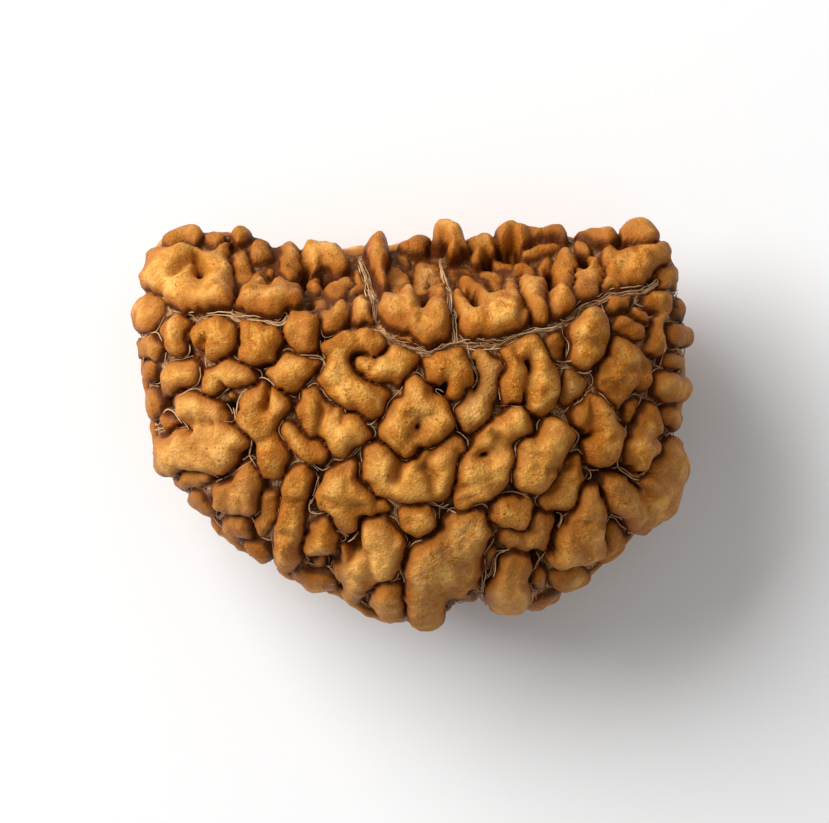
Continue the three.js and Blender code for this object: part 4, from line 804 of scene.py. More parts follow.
class NodeBench:
    """A short way to wire one material's nodes."""

    def __init__(self, name: str) -> None:
        """Starts a material with its usual surface shader.

        Args:
            name: The material's name.
        """
        self.material = bpy.data.materials.new(name)
        self.material.use_nodes = True
        self.tree = self.material.node_tree
        self.surface = self.tree.nodes["Principled BSDF"]

    def add(self, kind: str) -> bpy.types.Node:
        """Adds one node of the given kind."""
        return self.tree.nodes.new(kind)

    def feed(self, value: Socket | float | Colour, socket: Socket) -> None:
        """Gives an input a value.

        Args:
            value: An output to join, a number or a colour.
            socket: The input.
        """
        if isinstance(value, Socket):
            self.tree.links.new(value, socket)
        elif isinstance(value, tuple):
            socket.default_value = (*value, 1.0)
        else:
            socket.default_value = value

    def finish(self, **values: Socket | float | Colour) -> Material:
        """Gives the surface its values.

        Args:
            values: What each input is given, by the input's name with _ for a space.

        Returns:
            The material.
        """
        for name, value in values.items():
            self.feed(value, self.surface.inputs[name.replace("_", " ")])
        return self.material

    def place(self) -> Socket:
        """Reads where each point of the surface lies."""
        return self.add("ShaderNodeTexCoord").outputs["Object"]

    def attribute(self, name: str, output: str = "Fac") -> Socket:
        """Reads one of the mesh's own values.

        Args:
            name: Its name.
            output: Which form of it is read.

        Returns:
            The value.
        """
        node = self.add("ShaderNodeAttribute")
        node.attribute_name = name
        return node.outputs[output]

    def clouds(self, place: Socket, clouds: Clouds) -> Socket:
        """Adds a cloudy mottling.

        Args:
            place: Where it is read.
            clouds: Its form.

        Returns:
            Its value, about 0.2 to 0.8.
        """
        node = self.add("ShaderNodeTexNoise")
        self.feed(place, node.inputs["Vector"])
        self.feed(1 / (clouds.length * MM), node.inputs["Scale"])
        self.feed(clouds.layers, node.inputs["Detail"])
        self.feed(clouds.swirl, node.inputs["Distortion"])
        return node.outputs["Fac"]

    def join(self, how: Join, *values: Socket | float) -> Socket:
        """Combines two or more values, one after the other.

        Args:
            how: The way.
            values: The values.

        Returns:
            The result.
        """
        total, *others = values
        for other in others:
            node = self.add("ShaderNodeMath")
            node.operation = how.value
            self.feed(total, node.inputs[0])
            self.feed(other, node.inputs[1])
            total = node.outputs[0]
        return total

    def fade(self, value: Socket, fade: Fade) -> Socket:
        """How strongly something shows where a value is read.

        Args:
            value: The value.
            fade: How it fades in.

        Returns:
            The strength.
        """
        node = self.add("ShaderNodeMapRange")
        node.interpolation_type = "SMOOTHSTEP"
        for socket, given in zip(node.inputs, (value, fade.low, fade.high, fade.least, fade.most)):
            self.feed(given, socket)
        return node.outputs[0]

    def ramp(self, value: Socket, stops: list[tuple[float, Colour]]) -> Socket:
        """Turns a value into a colour.

        Args:
            value: The value.
            stops: Colours along it, each with its place.

        Returns:
            The colour.
        """
        node = self.add("ShaderNodeValToRGB")
        self.feed(value, node.inputs["Fac"])
        points = node.color_ramp.elements
        while len(points) < len(stops):
            points.new(0.5)
        for point, (at, colour) in zip(points, stops):
            point.position = at
            point.color = (*colour, 1)
        return node.outputs["Color"]

    def mix(self, share: Socket | float, under: Socket | Colour, over: Socket | Colour) -> Socket:
        """Lays one colour over another.

        Args:
            share: How far the upper one covers.
            under: The lower colour.
            over: The upper colour.

        Returns:
            The mixed colour.
        """
        node = self.add("ShaderNodeMix")
        node.data_type = "RGBA"
        self.feed(share, node.inputs["Factor"])
        self.feed(under, node.inputs[6])
        self.feed(over, node.inputs[7])
        return node.outputs[2]

    def washed(self, colour: Socket | Colour, *washes: tuple[Socket, Fade, Socket | Colour]) -> Socket:
        """Lays washes over a colour.

        Args:
            colour: The colour.
            washes: For each, the value that it follows, how it shows by that value, and its colour.

        Returns:
            The colour with all of them on it.
        """
        for value, fade, over in washes:
            colour = self.mix(self.fade(value, fade), colour, over)
        return colour


def in_scene(name: str, data: bpy.types.ID) -> Object:
    """Puts a new object into the scene.

    Args:
        name: Its name.
        data: What it shows.

    Returns:
        The object.
    """
    made = bpy.data.objects.new(name, data)
    bpy.context.scene.collection.objects.link(made)
    return made


def mesh_in_scene(name: str, points: list, faces: list) -> Object:
    """Puts a new mesh into the scene.

    Args:
        name: Its name.
        points: Its points in metres.
        faces: For each face, the numbers of its points.

    Returns:
        The object.
    """
    mesh = bpy.data.meshes.new(name)
    mesh.from_pydata(points, [], faces)
    return in_scene(name, mesh)


def set_values(mesh: bpy.types.Mesh, name: str, values: Array | list[float]) -> None:
    """Gives each point of a mesh a value that its finish reads by the name."""
    mesh.attributes.new(name, "FLOAT", "POINT").data.foreach_set("value", np.asarray(values, np.float32))


def set_smooth(mesh: bpy.types.Mesh) -> None:
    """Shades all of a mesh smoothly."""
    mesh.polygons.foreach_set("use_smooth", np.ones(len(mesh.polygons), bool))


@dataclass(frozen=True)
class Waves:
    """Random waves over the core: their length, how much they count, and a seed for each direction."""

    length: float
    strength: float
    seeds: tuple[int, ...]

    def at(self, foot: Array) -> list[Array]:
        """The waves at points of the core, one field a seed."""
        return [ripple(foot, self.length, seed) * self.strength for seed in self.seeds]


@dataclass(frozen=True)
class FleshMat:
    """Dried flesh that lies felted over the furrows' floor.

    `everywhere`, `patches`, `at_meetings` and `in_furrows` say what each adds to its share.
    """

    height: float = 0.42
    crumbs: Waves = Waves(0.42, 0.05, (43,))
    everywhere: float = 0.1
    patches: Waves = Waves(2.3, 0.45, (29,))
    at_meetings: float = 0.5
    meeting_width: float = 1.1
    in_furrows: float = 0.7
    furrow_wall: float = 0.4
    front_from: float = 2.0
    front_reach: float = 4.0
    at_back: float = 0.3
    pressed_out: float = 0.8
    wiped_off: float = 0.35
    over_reach: float = 0.25
    edge_share: float = 0.35
    edge_reach: float = 0.08

    def share(self, foot: Array, carve: Array, near: Near) -> Array:
        """How thickly it lies in the furrows, most where three lobes meet.

        Args:
            foot: Points of the core.
            carve: How far they lie inside an open furrow's walls.
            near: The nearest lobes there.

        Returns:
            The share at each, 0 to 1.
        """
        front = np.clip((foot[:, 2] - self.front_from) / self.front_reach, self.at_back, 1)
        meeting = np.clip(1 - (near["third"] - near["first"]) / self.meeting_width, 0, 1)
        share = (self.everywhere + self.patches.at(foot)[0] + self.at_meetings * meeting
                 + self.in_furrows * np.clip(1 + carve / self.furrow_wall, 0, 1))
        return np.clip(share, 0, 1) * front

    def thickness(self, foot: Array, fused: Array) -> Array:
        """Its full thickness, crumbly, and thin where the lobes press together."""
        return (self.height + self.crumbs.at(foot)[0]) * (1 - self.pressed_out * fused)

    def showing(self, over: Array, inside: Array, fused: Array) -> Array:
        """How clearly its colour shows on the stone's surface.

        Args:
            over: How far the surface lies over the furrows' floor.
            inside: How far it lies inside a lobe's edge.
            fused: How far it belongs to the straight side.

        Returns:
            The share at each place, 0 to 1.
        """
        low = np.clip(1 - over / self.over_reach, 0, 1) * (1 - self.wiped_off * fused)
        return low * np.clip(self.edge_share - inside / self.edge_reach, 0, 1)


@dataclass
class SeedBody:
    """The stone's fine surface: the core with its lobes, furrows and pits, as one closed mesh.

    The `shoulder` fields round a lobe's side, and the `fused` ones press together the lobes of the
    straight side. Where a place lies `far` from the surface, how far doesn't count.
    """

    lobes: LobeField
    mat: FleshMat = FleshMat()
    pitch: float = 0.13
    low: Place = (-16.4, -12.4, -0.9)
    high: Place = (16.4, 12.4, 18.8)
    place: Place = (0.008, 0.081, 0.0)
    shoulder_share: float = 0.85
    shoulder_fullness: float = 3.0
    shoulder_reach: float = 0.45
    least_slope: float = 0.3
    lobe_reach: float = 0.6
    furrow_half_width: float = 0.02
    corner_blend: float = 0.5
    meeting_blend: float = 0.4
    meeting_blend_more: float = 0.6
    meeting_reach: float = 1.5
    carve_blend: float = 0.15
    pit_wall: float = 0.15
    furrow_floor: float = 0.1
    fused_over: float = 1.2
    fused_down: float = 1.6
    fused_reach: float = 0.5
    fused_half_width: float = -0.04
    fused_floor: float = 0.32
    floor_blend: float = 0.15
    sways: tuple[Waves, Waves] = (Waves(1.7, 0.11, (11, 12, 13)), Waves(0.65, 0.045, (14, 15, 16)))
    lumps: tuple[Waves, Waves] = (Waves(1.3, 0.06, (3,)), Waves(0.5, 0.035, (4,)))
    folds: Waves = Waves(1.9, 1.0, (31,))
    fold_depth: float = 0.11
    fold_width: float = 0.3
    fold_share: float = 0.4
    fold_patches: Waves = Waves(4.0, 0.7, (37,))
    far: float = 0.8
    band: Pair = (-2.0, 3.1)
    tone_seed: int = 5
    most_triangles: int = 190_000

    def surface_field(self, height: Array, foot: Array, seen: Array) -> Array:
        """How far places lie outside the stone, roughly in millimetres.

        Args:
            height: Each place's height above the core.
            foot: The core's point under it.
            seen: Where that point shows on the front.

        Returns:
            The field, negative inside the stone.
        """
        near, shift = self.nearest(foot, seen)
        fused = self.fused_share(seen)
        seen = seen + shift
        carve = self.furrow_carve(seen)
        floor = self.ground(foot, fused, carve, near)
        for *ends, half_width, depth in PITS:
            away = self._beside(seen, ends[:2], ends[2:])[0]
            floor -= depth * bell(away, half_width + self.pit_wall)
            carve = np.maximum(carve, half_width - away)
        top = self.lobes.tops(near) + self.relief(foot)
        for *ends, half_width, depth in CREASES:
            top -= depth * bell(self._beside(seen, ends[:2], ends[2:])[0], half_width)
        width, rounded = near["width"] + self.shoulder_reach, top * self.shoulder_share
        u = np.maximum(1 + self.lobe_edge(near, fused, carve) / width, 0)
        v = np.maximum((height - (top - rounded)) / rounded, 0)
        past, slope = past_oval((u, v), (width, rounded), self.shoulder_fullness, 1e-3)
        lobe = np.clip(past / np.maximum(slope, self.least_slope), -self.far, self.far)
        return -soft_max(-lobe, -np.clip(height - floor, -self.far, self.far), self.floor_blend)

    def nearest(self, foot: Array, seen: Array) -> tuple[Near, Array]:
        """The nearest lobes at points of the core, with their outlines swayed.

        Args:
            foot: The points.
            seen: Where they show on the front.

        Returns:
            The nearest lobes and the sway.
        """
        shift = self.sway_at(foot)
        return self.lobes.nearest(foot + shift, seen + shift), shift

    def lobe_edge(self, near: Near, fused: Array, carve: Array) -> Array:
        """How far places lie outside a lobe's edge, where it ends, meets its neighbours or is carved.

        Args:
            near: The nearest lobes there.
            fused: How far the places belong to the straight side.
            carve: How far they lie inside an open furrow's or a pit's walls.

        Returns:
            The distance at each, negative on the lobe.
        """
        gap = self.furrow_half_width + self.fused_half_width * fused
        pair, three = ((near[name] - near["first"]) / 2 for name in ("second", "third"))
        blend = self.meeting_blend + self.meeting_blend_more * np.minimum(pair, self.meeting_reach)
        contact = soft_max(gap - pair, gap - three, blend)
        end = near["first"] - self.lobe_reach - self.fused_reach * fused
        return soft_max(soft_max(end, contact, self.corner_blend), carve, self.carve_blend)

    def fused_share(self, seen: Array) -> Array:
        """How far places belong to the straight side, whose lobes press together.

        Args:
            seen: Where the places show on the front.

        Returns:
            The share at each, 0 to 1.
        """
        line = np.array(FURROWS[0] + FURROWS[1])
        above = (seen[:, 1] - np.interp(seen[:, 0], line[:, 0], line[:, 1])) / self.fused_over
        return np.clip(above, 0, 1) * np.clip(1 - seen[:, 2] / self.fused_down, 0, 1)

    def sway_at(self, foot: Array) -> Array:
        """A small shift of the lobes' outlines, so that none is ruled straight."""
        wide, fine = (waves.at(foot) for waves in self.sways)
        return np.stack([a + b for a, b in zip(wide, fine)], axis=-1)

    def relief(self, foot: Array) -> Array:
        """What small swellings add to the lobes' tops, and winding folds take from them.

        Args:
            foot: Points of the core.

        Returns:
            The height at each.
        """
        swell = sum(waves.at(foot)[0] for waves in self.lumps)
        patchy = np.clip(self.fold_share + self.fold_patches.at(foot)[0], 0, 1)
        return swell - self.fold_depth * patchy * bell(self.folds.at(foot)[0], self.fold_width)

    def ground(self, foot: Array, fused: Array, carve: Array, near: Near) -> Array:
        """Height of the furrows' floor above the core, with the dried flesh on it."""
        flesh = self.mat.share(foot, carve, near) * self.mat.thickness(foot, fused)
        return self.furrow_floor + self.fused_floor * fused + flesh

    def _beside(self, seen: Array, start: list[float], end: list[float]) -> tuple[Array, Array]:
        """How far places of the front lie beside a straight run.

        Args:
            seen: The places.
            start: X and Y of the run's start.
            end: X and Y of its end.

        Returns:
            The distances, and how far along the run each place lies, 0 to 1.
        """
        at = np.array([*start, 0.0], np.float32)
        run = np.array([*end, 0.0], np.float32) - at
        t = np.clip((seen - at) @ run / (run @ run), 0, 1)
        return np.linalg.norm(seen - at - run * t[:, None], axis=1), t

    def furrow_carve(self, seen: Array) -> Array:
        """How far places of the front lie inside an open furrow's walls.

        Args:
            seen: The places.

        Returns:
            The distance at each, negative outside.
        """
        carve = np.full(len(seen), -1.0, np.float32)
        for furrow in FURROWS:
            for start, end in zip(furrow, furrow[1:]):
                away, t = self._beside(seen, start[:2], end[:2])
                carve = np.maximum(carve, start[2] + (end[2] - start[2]) * t - away)
        return carve

    def build(self) -> Object:
        """Makes the mesh and the attributes that its finish reads.

        Returns:
            The new object.
        """
        core, low = self.lobes.core, np.array(self.low)
        counts = np.ceil((np.array(self.high) - low) / self.pitch).astype(int)
        axes = [(low[i] + self.pitch * np.arange(counts[i])).astype(np.float32) for i in range(3)]
        points = np.stack(np.meshgrid(*axes, indexing="ij"), axis=-1)
        height = core.height(points).astype(np.float32)
        slopes = np.stack(np.gradient(height, self.pitch), axis=-1)
        band = (height > self.band[0]) & (height < self.band[1])
        LOG.info("surface band of %d cells of %d", band.sum(), band.size)
        values = np.where(height < 0, -self.far, self.far).astype(np.float32)
        normal = unit_rows(slopes[band])
        foot = points[band] - normal * height[band][:, None]
        values[band] = self.surface_field(height[band], foot, core.seen(foot, normal))
        values = np.maximum(values, -points[..., 2] - self.place[2])
        grid = openvdb.FloatGrid()
        grid.copyFromArray(values)
        verts, quads = grid.convertToQuads(isovalue=0.0)
        LOG.info("surface of %d points and %d faces", len(verts), len(quads))
        verts, quads = self._largest_part(low + np.asarray(verts) * self.pitch, np.asarray(quads))
        LOG.info("of them %d points and %d faces hang together", len(verts), len(quads))
        return self._dressed(self._mesh(self._smoothed(verts, quads), quads))

    def _largest_part(self, verts: Array, quads: Array) -> tuple[Array, Array]:
        """The surface's biggest connected part, without the crumbs that lie loose beside it.

        Args:
            verts: The surface's points.
            quads: Its faces.

        Returns:
            The part's points and faces.
        """
        part = np.arange(len(verts))
        while True:
            spread = part.copy()
            np.minimum.at(spread, quads.ravel(), np.repeat(part[quads].min(axis=1), 4))
            spread = spread[spread]
            if (spread == part).all():
                break
            part = spread
        of_face = part[quads[:, 0]]
        quads = quads[of_face == np.bincount(of_face).argmax()]
        used, order = np.unique(quads, return_inverse=True)
        return verts[used], order.reshape(quads.shape)

    def _smoothed(self, verts: Array, quads: Array, rounds: int = 2, share: float = 0.4) -> Array:
        """The surface's points drawn towards their neighbours' middle, which rounds off creases.

        Args:
            verts: The points.
            quads: The faces.
            rounds: How many times they are drawn.
            share: How far each time.

        Returns:
            The new points.
        """
        one, other = np.concatenate([quads[:, [i, (i + 1) % 4]] for i in range(4)]).T
        count = np.bincount(one, minlength=len(verts)) + np.bincount(other, minlength=len(verts))
        for _ in range(rounds):
            total = np.zeros_like(verts)
            for axis in range(3):
                total[:, axis] = np.bincount(one, verts[other, axis], len(verts))
                total[:, axis] += np.bincount(other, verts[one, axis], len(verts))
            verts = verts + (total / count[:, None] - verts) * share
        return verts

    def _dust_of_lobes(self) -> Array:
        """How dusty each lobe is.

        Returns:
            A number a lobe, 0 to 1.
        """
        dusty = np.zeros(len(self.lobes.extra))
        for x, y, strength in DUSTY:
            at = np.array([[x, y, 0.0]])
            beside = self.lobes.beside_each(at, at, np.flatnonzero(self.lobes.on_front))[0][0]
            dusty[self.lobes.of[beside.argmin()]] = strength
        return dusty

    def _mesh(self, verts: Array, quads: Array) -> Object:
        """Makes the surface's mesh, thinned to at most `most_triangles`.

        Args:
            verts: Its points.
            quads: Its faces.

        Returns:
            The new object.
        """
        at = verts + np.array(self.place)
        at[:, 2] = np.maximum(at[:, 2], 0)
        seed = mesh_in_scene("seed_surface", (at * MM).tolist(), quads[:, ::-1].tolist())
        full = seed.data
        thin = seed.modifiers.new("thin", "DECIMATE")
        thin.ratio = min(1.0, self.most_triangles / (2 * len(quads)))
        thinned = seed.evaluated_get(bpy.context.evaluated_depsgraph_get())
        ready = bpy.data.meshes.new_from_object(thinned)
        seed.modifiers.clear()
        seed.data = ready
        ready.name = "seed_surface"
        bpy.data.meshes.remove(full)
        return seed

    def _dressed(self, seed: Object) -> Object:
        """Adds the attributes that the stone's finish reads.

        Args:
            seed: The stone.

        Returns:
            The stone.
        """
        core, mesh = self.lobes.core, seed.data
        verts = np.empty(len(mesh.vertices) * 3, np.float32)
        mesh.vertices.foreach_get("co", verts)
        verts = verts.reshape(-1, 3) / MM - np.array(self.place)
        height, normal = core.height(verts), core.normal(verts)
        foot = verts - normal * height[:, None]
        seen = core.seen(foot, normal)
        near, shift = self.nearest(foot, seen)
        carve, fused = self.furrow_carve(seen + shift), self.fused_share(seen)
        inside = -self.lobe_edge(near, fused, carve)
        over = height - self.ground(foot, fused, carve, near)
        tones = np.random.default_rng(self.tone_seed).uniform(0, 1, len(self.lobes.extra))
        # rise and inside also tell the stone's finish where to paint shade on the lobes' walls and edges.
        set_values(mesh, "rise", height / self.lobes.tops(near))
        set_values(mesh, "inside", inside)
        set_values(mesh, "tone", tones[near["lobe"]])
        set_values(mesh, "dust", self._dust_of_lobes()[near["lobe"]])
        set_values(mesh, "mat", self.mat.share(foot, carve, near) * self.mat.showing(over, inside, fused))
        layer = mesh.attributes.new("foot", "FLOAT_VECTOR", "POINT")
        layer.data.foreach_set("vector", (foot * MM).astype(np.float32).ravel())
        set_smooth(mesh)
        return seed


@dataclass
class FurrowThreads:
    """Hair-fine threads of dried flesh that lie along the furrows, as one mesh.

    Walks follow the furrows between lobes, and bundles the furrows that stay open. A pair of numbers is a
    range. A `drift` is how much a value wanders from one point of a thread to the next. `aim` and `across`
    place a thread beside its furrow's middle. `lift` is how high over the core it lies: for a walk as a
    share of its lobe's height, and for a bundle in millimetres.
    """

    lobes: LobeField
    body: SeedBody
    stone: Object
    walks: int = 620
    seats_each: int = 9
    most_fused: float = 0.25
    from_meeting: float = 0.3
    least_z: float = 3.5
    most_y: float = 8.0
    steps: tuple[int, int] = (5, 11)
    stride: float = 0.24
    probe: float = 0.05
    pull: float = 0.8
    aim: Pair = (0.0, 0.09)
    aim_limits: Pair = (-0.05, 0.13)
    lift: Pair = (0.3, 0.54)
    drift: float = 0.035
    bundle_threads: int = 16
    bundle_length: float = 4.0
    bundle_ends: Pair = (-0.3, 0.6)
    bundle_run: Pair = (1.0, 3.4)
    bundle_stride: float = 0.22
    across: Pair = (-1.1, 1.1)
    across_drift: float = 0.25
    across_limits: Pair = (-1.6, 1.6)
    bundle_lift: float = 0.45
    bundle_drift: float = 0.03
    bundle_limits: Pair = (0.4, 0.95)
    stray_lift: float = 0.02
    stray_points: int = 4
    look_from: float = 50.0
    radius: Pair = (0.018, 0.044)
    unevenness: Pair = (0.8, 1.2)
    tip: float = 0.15
    sides: int = 4
    askew: Place = (0.3, 0.2, 1.0)
    seed: int = 41

    def build(self) -> Object:
        """Makes the mesh of all threads.

        Returns:
            The new object.
        """
        rng = np.random.default_rng(self.seed)
        runs = self._walked(rng) + self._bundles(rng) + self._strays()
        points, faces, tones = [], [], []
        for run in runs:
            self._tube(run, rng, points, faces, tones)
        at = (np.array(points) + np.array(self.body.place)) * MM
        threads = mesh_in_scene("furrow_threads", at.tolist(), faces)
        set_values(threads.data, "tone", tones)
        set_smooth(threads.data)
        LOG.info("furrow threads: %d", len(runs))
        return threads

    def _beside_lobes(self, foot: Array) -> tuple[Array, Array]:
        """Where points of the core lie among the lobes.

        Args:
            foot: The points.

        Returns:
            How far each lies from where its two nearest lobes meet, and the nearest lobe's height.
        """
        near, _ = self.body.nearest(foot, self.lobes.core.seen(foot, self.lobes.core.normal(foot)))
        return (near["second"] - near["first"]) / 2, self.lobes.tops(near)

    def _walked(self, rng: Draws) -> list[Array]:
        """Threads that walk along the furrows between the lobes.

        Args:
            rng: The random draws.

        Returns:
            Each thread's middle line.
        """
        core, most = self.lobes.core, self.steps[1]
        foot = core.seats(self.seats_each * self.walks)
        foot = foot[rng.permutation(len(foot))]
        open_here = self._beside_lobes(foot)[0] < self.from_meeting
        open_here &= self.body.fused_share(core.seen(foot, core.normal(foot))) < self.most_fused
        foot = foot[open_here & (foot[:, 2] > self.least_z) & (foot[:, 1] < self.most_y)][: self.walks]
        aim = rng.uniform(*self.aim, len(foot))
        lift = rng.uniform(*self.lift, len(foot))
        way = np.zeros_like(foot)
        runs = []
        for _ in range(most):
            normal = core.normal(foot)
            side = unit_rows(np.cross(normal, [0.0, 1.0, 0.0]))
            ahead = np.cross(normal, side)
            here, height = self._beside_lobes(foot)
            rise = [(self._beside_lobes(foot + a * self.probe)[0] - here) / self.probe for a in (side, ahead)]
            slope = unit_rows(side * rise[0][:, None] + ahead * rise[1][:, None])
            along = np.cross(normal, slope)
            turn = np.sign((along * way).sum(1))
            turn[turn == 0] = 1
            way = along * turn[:, None]
            foot = core.foot(foot + slope * (aim - here)[:, None] * self.pull, rounds=2)
            runs.append(foot + core.normal(foot) * (lift * height)[:, None])
            aim = np.clip(aim + rng.normal(0, self.drift, len(foot)), *self.aim_limits)
            lift = np.clip(lift + rng.normal(0, self.drift, len(foot)), *self.lift)
            foot = core.foot(foot + way * self.stride, rounds=2)
        stack = np.stack(runs, axis=1)
        lengths = rng.integers(self.steps[0], most + 1, len(stack))
        return [self._eased(run[:count]) for run, count in zip(stack, lengths)]

    def _eased(self, run: Array) -> Array:
        """A walk's points rounded off, twice as many of them.

        Args:
            run: The points.

        Returns:
            The new points.
        """
        run[1:-1] = (run[:-2] + 2 * run[1:-1] + run[2:]) / 4
        for _ in range(2):
            cut = np.stack([run[:-1] * 0.75 + run[1:] * 0.25, run[:-1] * 0.25 + run[1:] * 0.75], axis=1)
            run = np.concatenate([run[:1], cut.reshape(-1, 3), run[-1:]])
        return run[::2]

    def _bundles(self, rng: Draws) -> list[Array]:
        """Bundles of threads along the furrows that stay open.

        Args:
            rng: The random draws.

        Returns:
            Each thread's middle line.
        """
        core = self.lobes.core
        runs = []
        for furrow in FURROWS:
            rows = np.array(furrow)
            lengths = np.r_[0, np.cumsum(np.hypot(*np.diff(rows[:, :2], axis=0).T))]
            for _ in range(int(self.bundle_threads * lengths[-1] / self.bundle_length)):
                start = rng.uniform(self.bundle_ends[0], lengths[-1] - self.bundle_ends[1])
                at = np.arange(start, start + rng.uniform(*self.bundle_run), self.bundle_stride)
                *plan, half = (np.interp(at, lengths, column) for column in rows.T)
                plan = np.column_stack(plan)
                start = rng.uniform(*self.across)
                across = self._wander(rng, start, self.across_drift, self.across_limits, len(at)) * half
                ways = unit_rows(np.gradient(plan, axis=0))
                foot = core.foot_seen(plan + np.column_stack([-ways[:, 1], ways[:, 0]]) * across[:, None])
                start = self.bundle_lift + rng.uniform(0, self.bundle_lift)
                lift = self._wander(rng, start, self.bundle_drift, self.bundle_limits, len(at))
                runs.append(foot + core.normal(foot) * lift[:, None])
        return runs

    def _wander(self, rng: Draws, start: float, drift: float, limits: Pair,
                count: int) -> Array:
        """A value that wanders along a thread's points.

        Args:
            rng: The random draws.
            start: Where it starts.
            drift: How much it wanders from point to point.
            limits: What it is held between.
            count: How many points.

        Returns:
            The values.
        """
        return np.clip(start + np.cumsum(rng.normal(0, drift, count)), *limits)

    def _strays(self) -> list[Array]:
        """Threads that stray over the lobes, laid on the stone's surface.

        Returns:
            Each thread's middle line.
        """
        runs = []
        for stroke in STRAYS:
            at = np.linspace(0, len(stroke) - 1, self.stray_points * len(stroke))
            x, y = (np.interp(at, np.arange(len(stroke)), column) for column in zip(*stroke))
            z = [self._surface_height(*point) + self.stray_lift for point in zip(x, y)]
            runs.append(np.column_stack([x, y, z]))
        return runs

    def _surface_height(self, x: float, y: float) -> float:
        """Height of the stone's fine surface, looking straight down.

        Args:
            x: X of the place.
            y: Y of the place.

        Returns:
            The height there.
        """
        place = self.body.place
        start = Vector(((x + place[0]) * MM, (y + place[1]) * MM, self.look_from * MM))
        _, hit, _, _ = self.stone.ray_cast(start, Vector((0, 0, -1)))
        return hit.z / MM - place[2]

    def _tube(self, run: Array, rng: Draws, points: list[Array],
              faces: list[tuple[int, ...]], tones: list[float]) -> None:
        """Adds one thread as a thin tube that tapers at both ends.

        Args:
            run: Its middle line.
            rng: The random draws.
            points: The mesh's points so far.
            faces: The mesh's faces so far.
            tones: Each point's tone so far.
        """
        count, sides = len(run), self.sides
        ways = unit_rows(np.gradient(run, axis=0))
        side = unit_rows(np.cross(ways, self.askew))
        up = np.cross(ways, side)
        from_end = np.minimum(np.arange(count), np.arange(count)[::-1])
        taper = np.sqrt(np.clip(from_end + self.tip, 0, 1))
        radius = rng.uniform(*self.radius) * taper * rng.uniform(*self.unevenness, count)
        first, tone = len(points), rng.uniform()
        for k in range(count):
            for s in range(sides):
                turn = 2 * math.pi * s / sides
                points.append(run[k] + (side[k] * math.cos(turn) + up[k] * math.sin(turn)) * radius[k])
                tones.append(tone)
        last = first + (count - 1) * sides
        for ring in range(first, last, sides):
            for s in range(sides):
                a, b = ring + s, ring + (s + 1) % sides
                faces.append((a, b, b + sides, a + sides))
        faces.append(tuple(reversed(range(first, first + sides))))
        faces.append(tuple(range(last, last + sides)))


@dataclass(frozen=True)
class DriedThread:
    """The pale, dry straw of the threads, some of them browner and stained."""

    pale: Colour = (0.68, 0.43, 0.22)
    brown: Colour = (0.36, 0.16, 0.05)
    stain: Clouds = Clouds(0.7, 2)
    stained: Fade = Fade(0.4, 0.7, 0.5)
    browner: Fade = Fade(0, 1, 0.8)
    roughness: float = 0.8

    def make(self) -> Material:
        """Builds the material.

        Returns:
            The new material.
        """
        bench = NodeBench("dried_thread")
        stained = bench.fade(bench.clouds(bench.place(), self.stain), self.stained)
        share = bench.join(Join.ADD, bench.fade(bench.attribute("tone"), self.browner), stained)
        return bench.finish(Base_Color=bench.mix(share, self.pale, self.brown), Roughness=self.roughness)


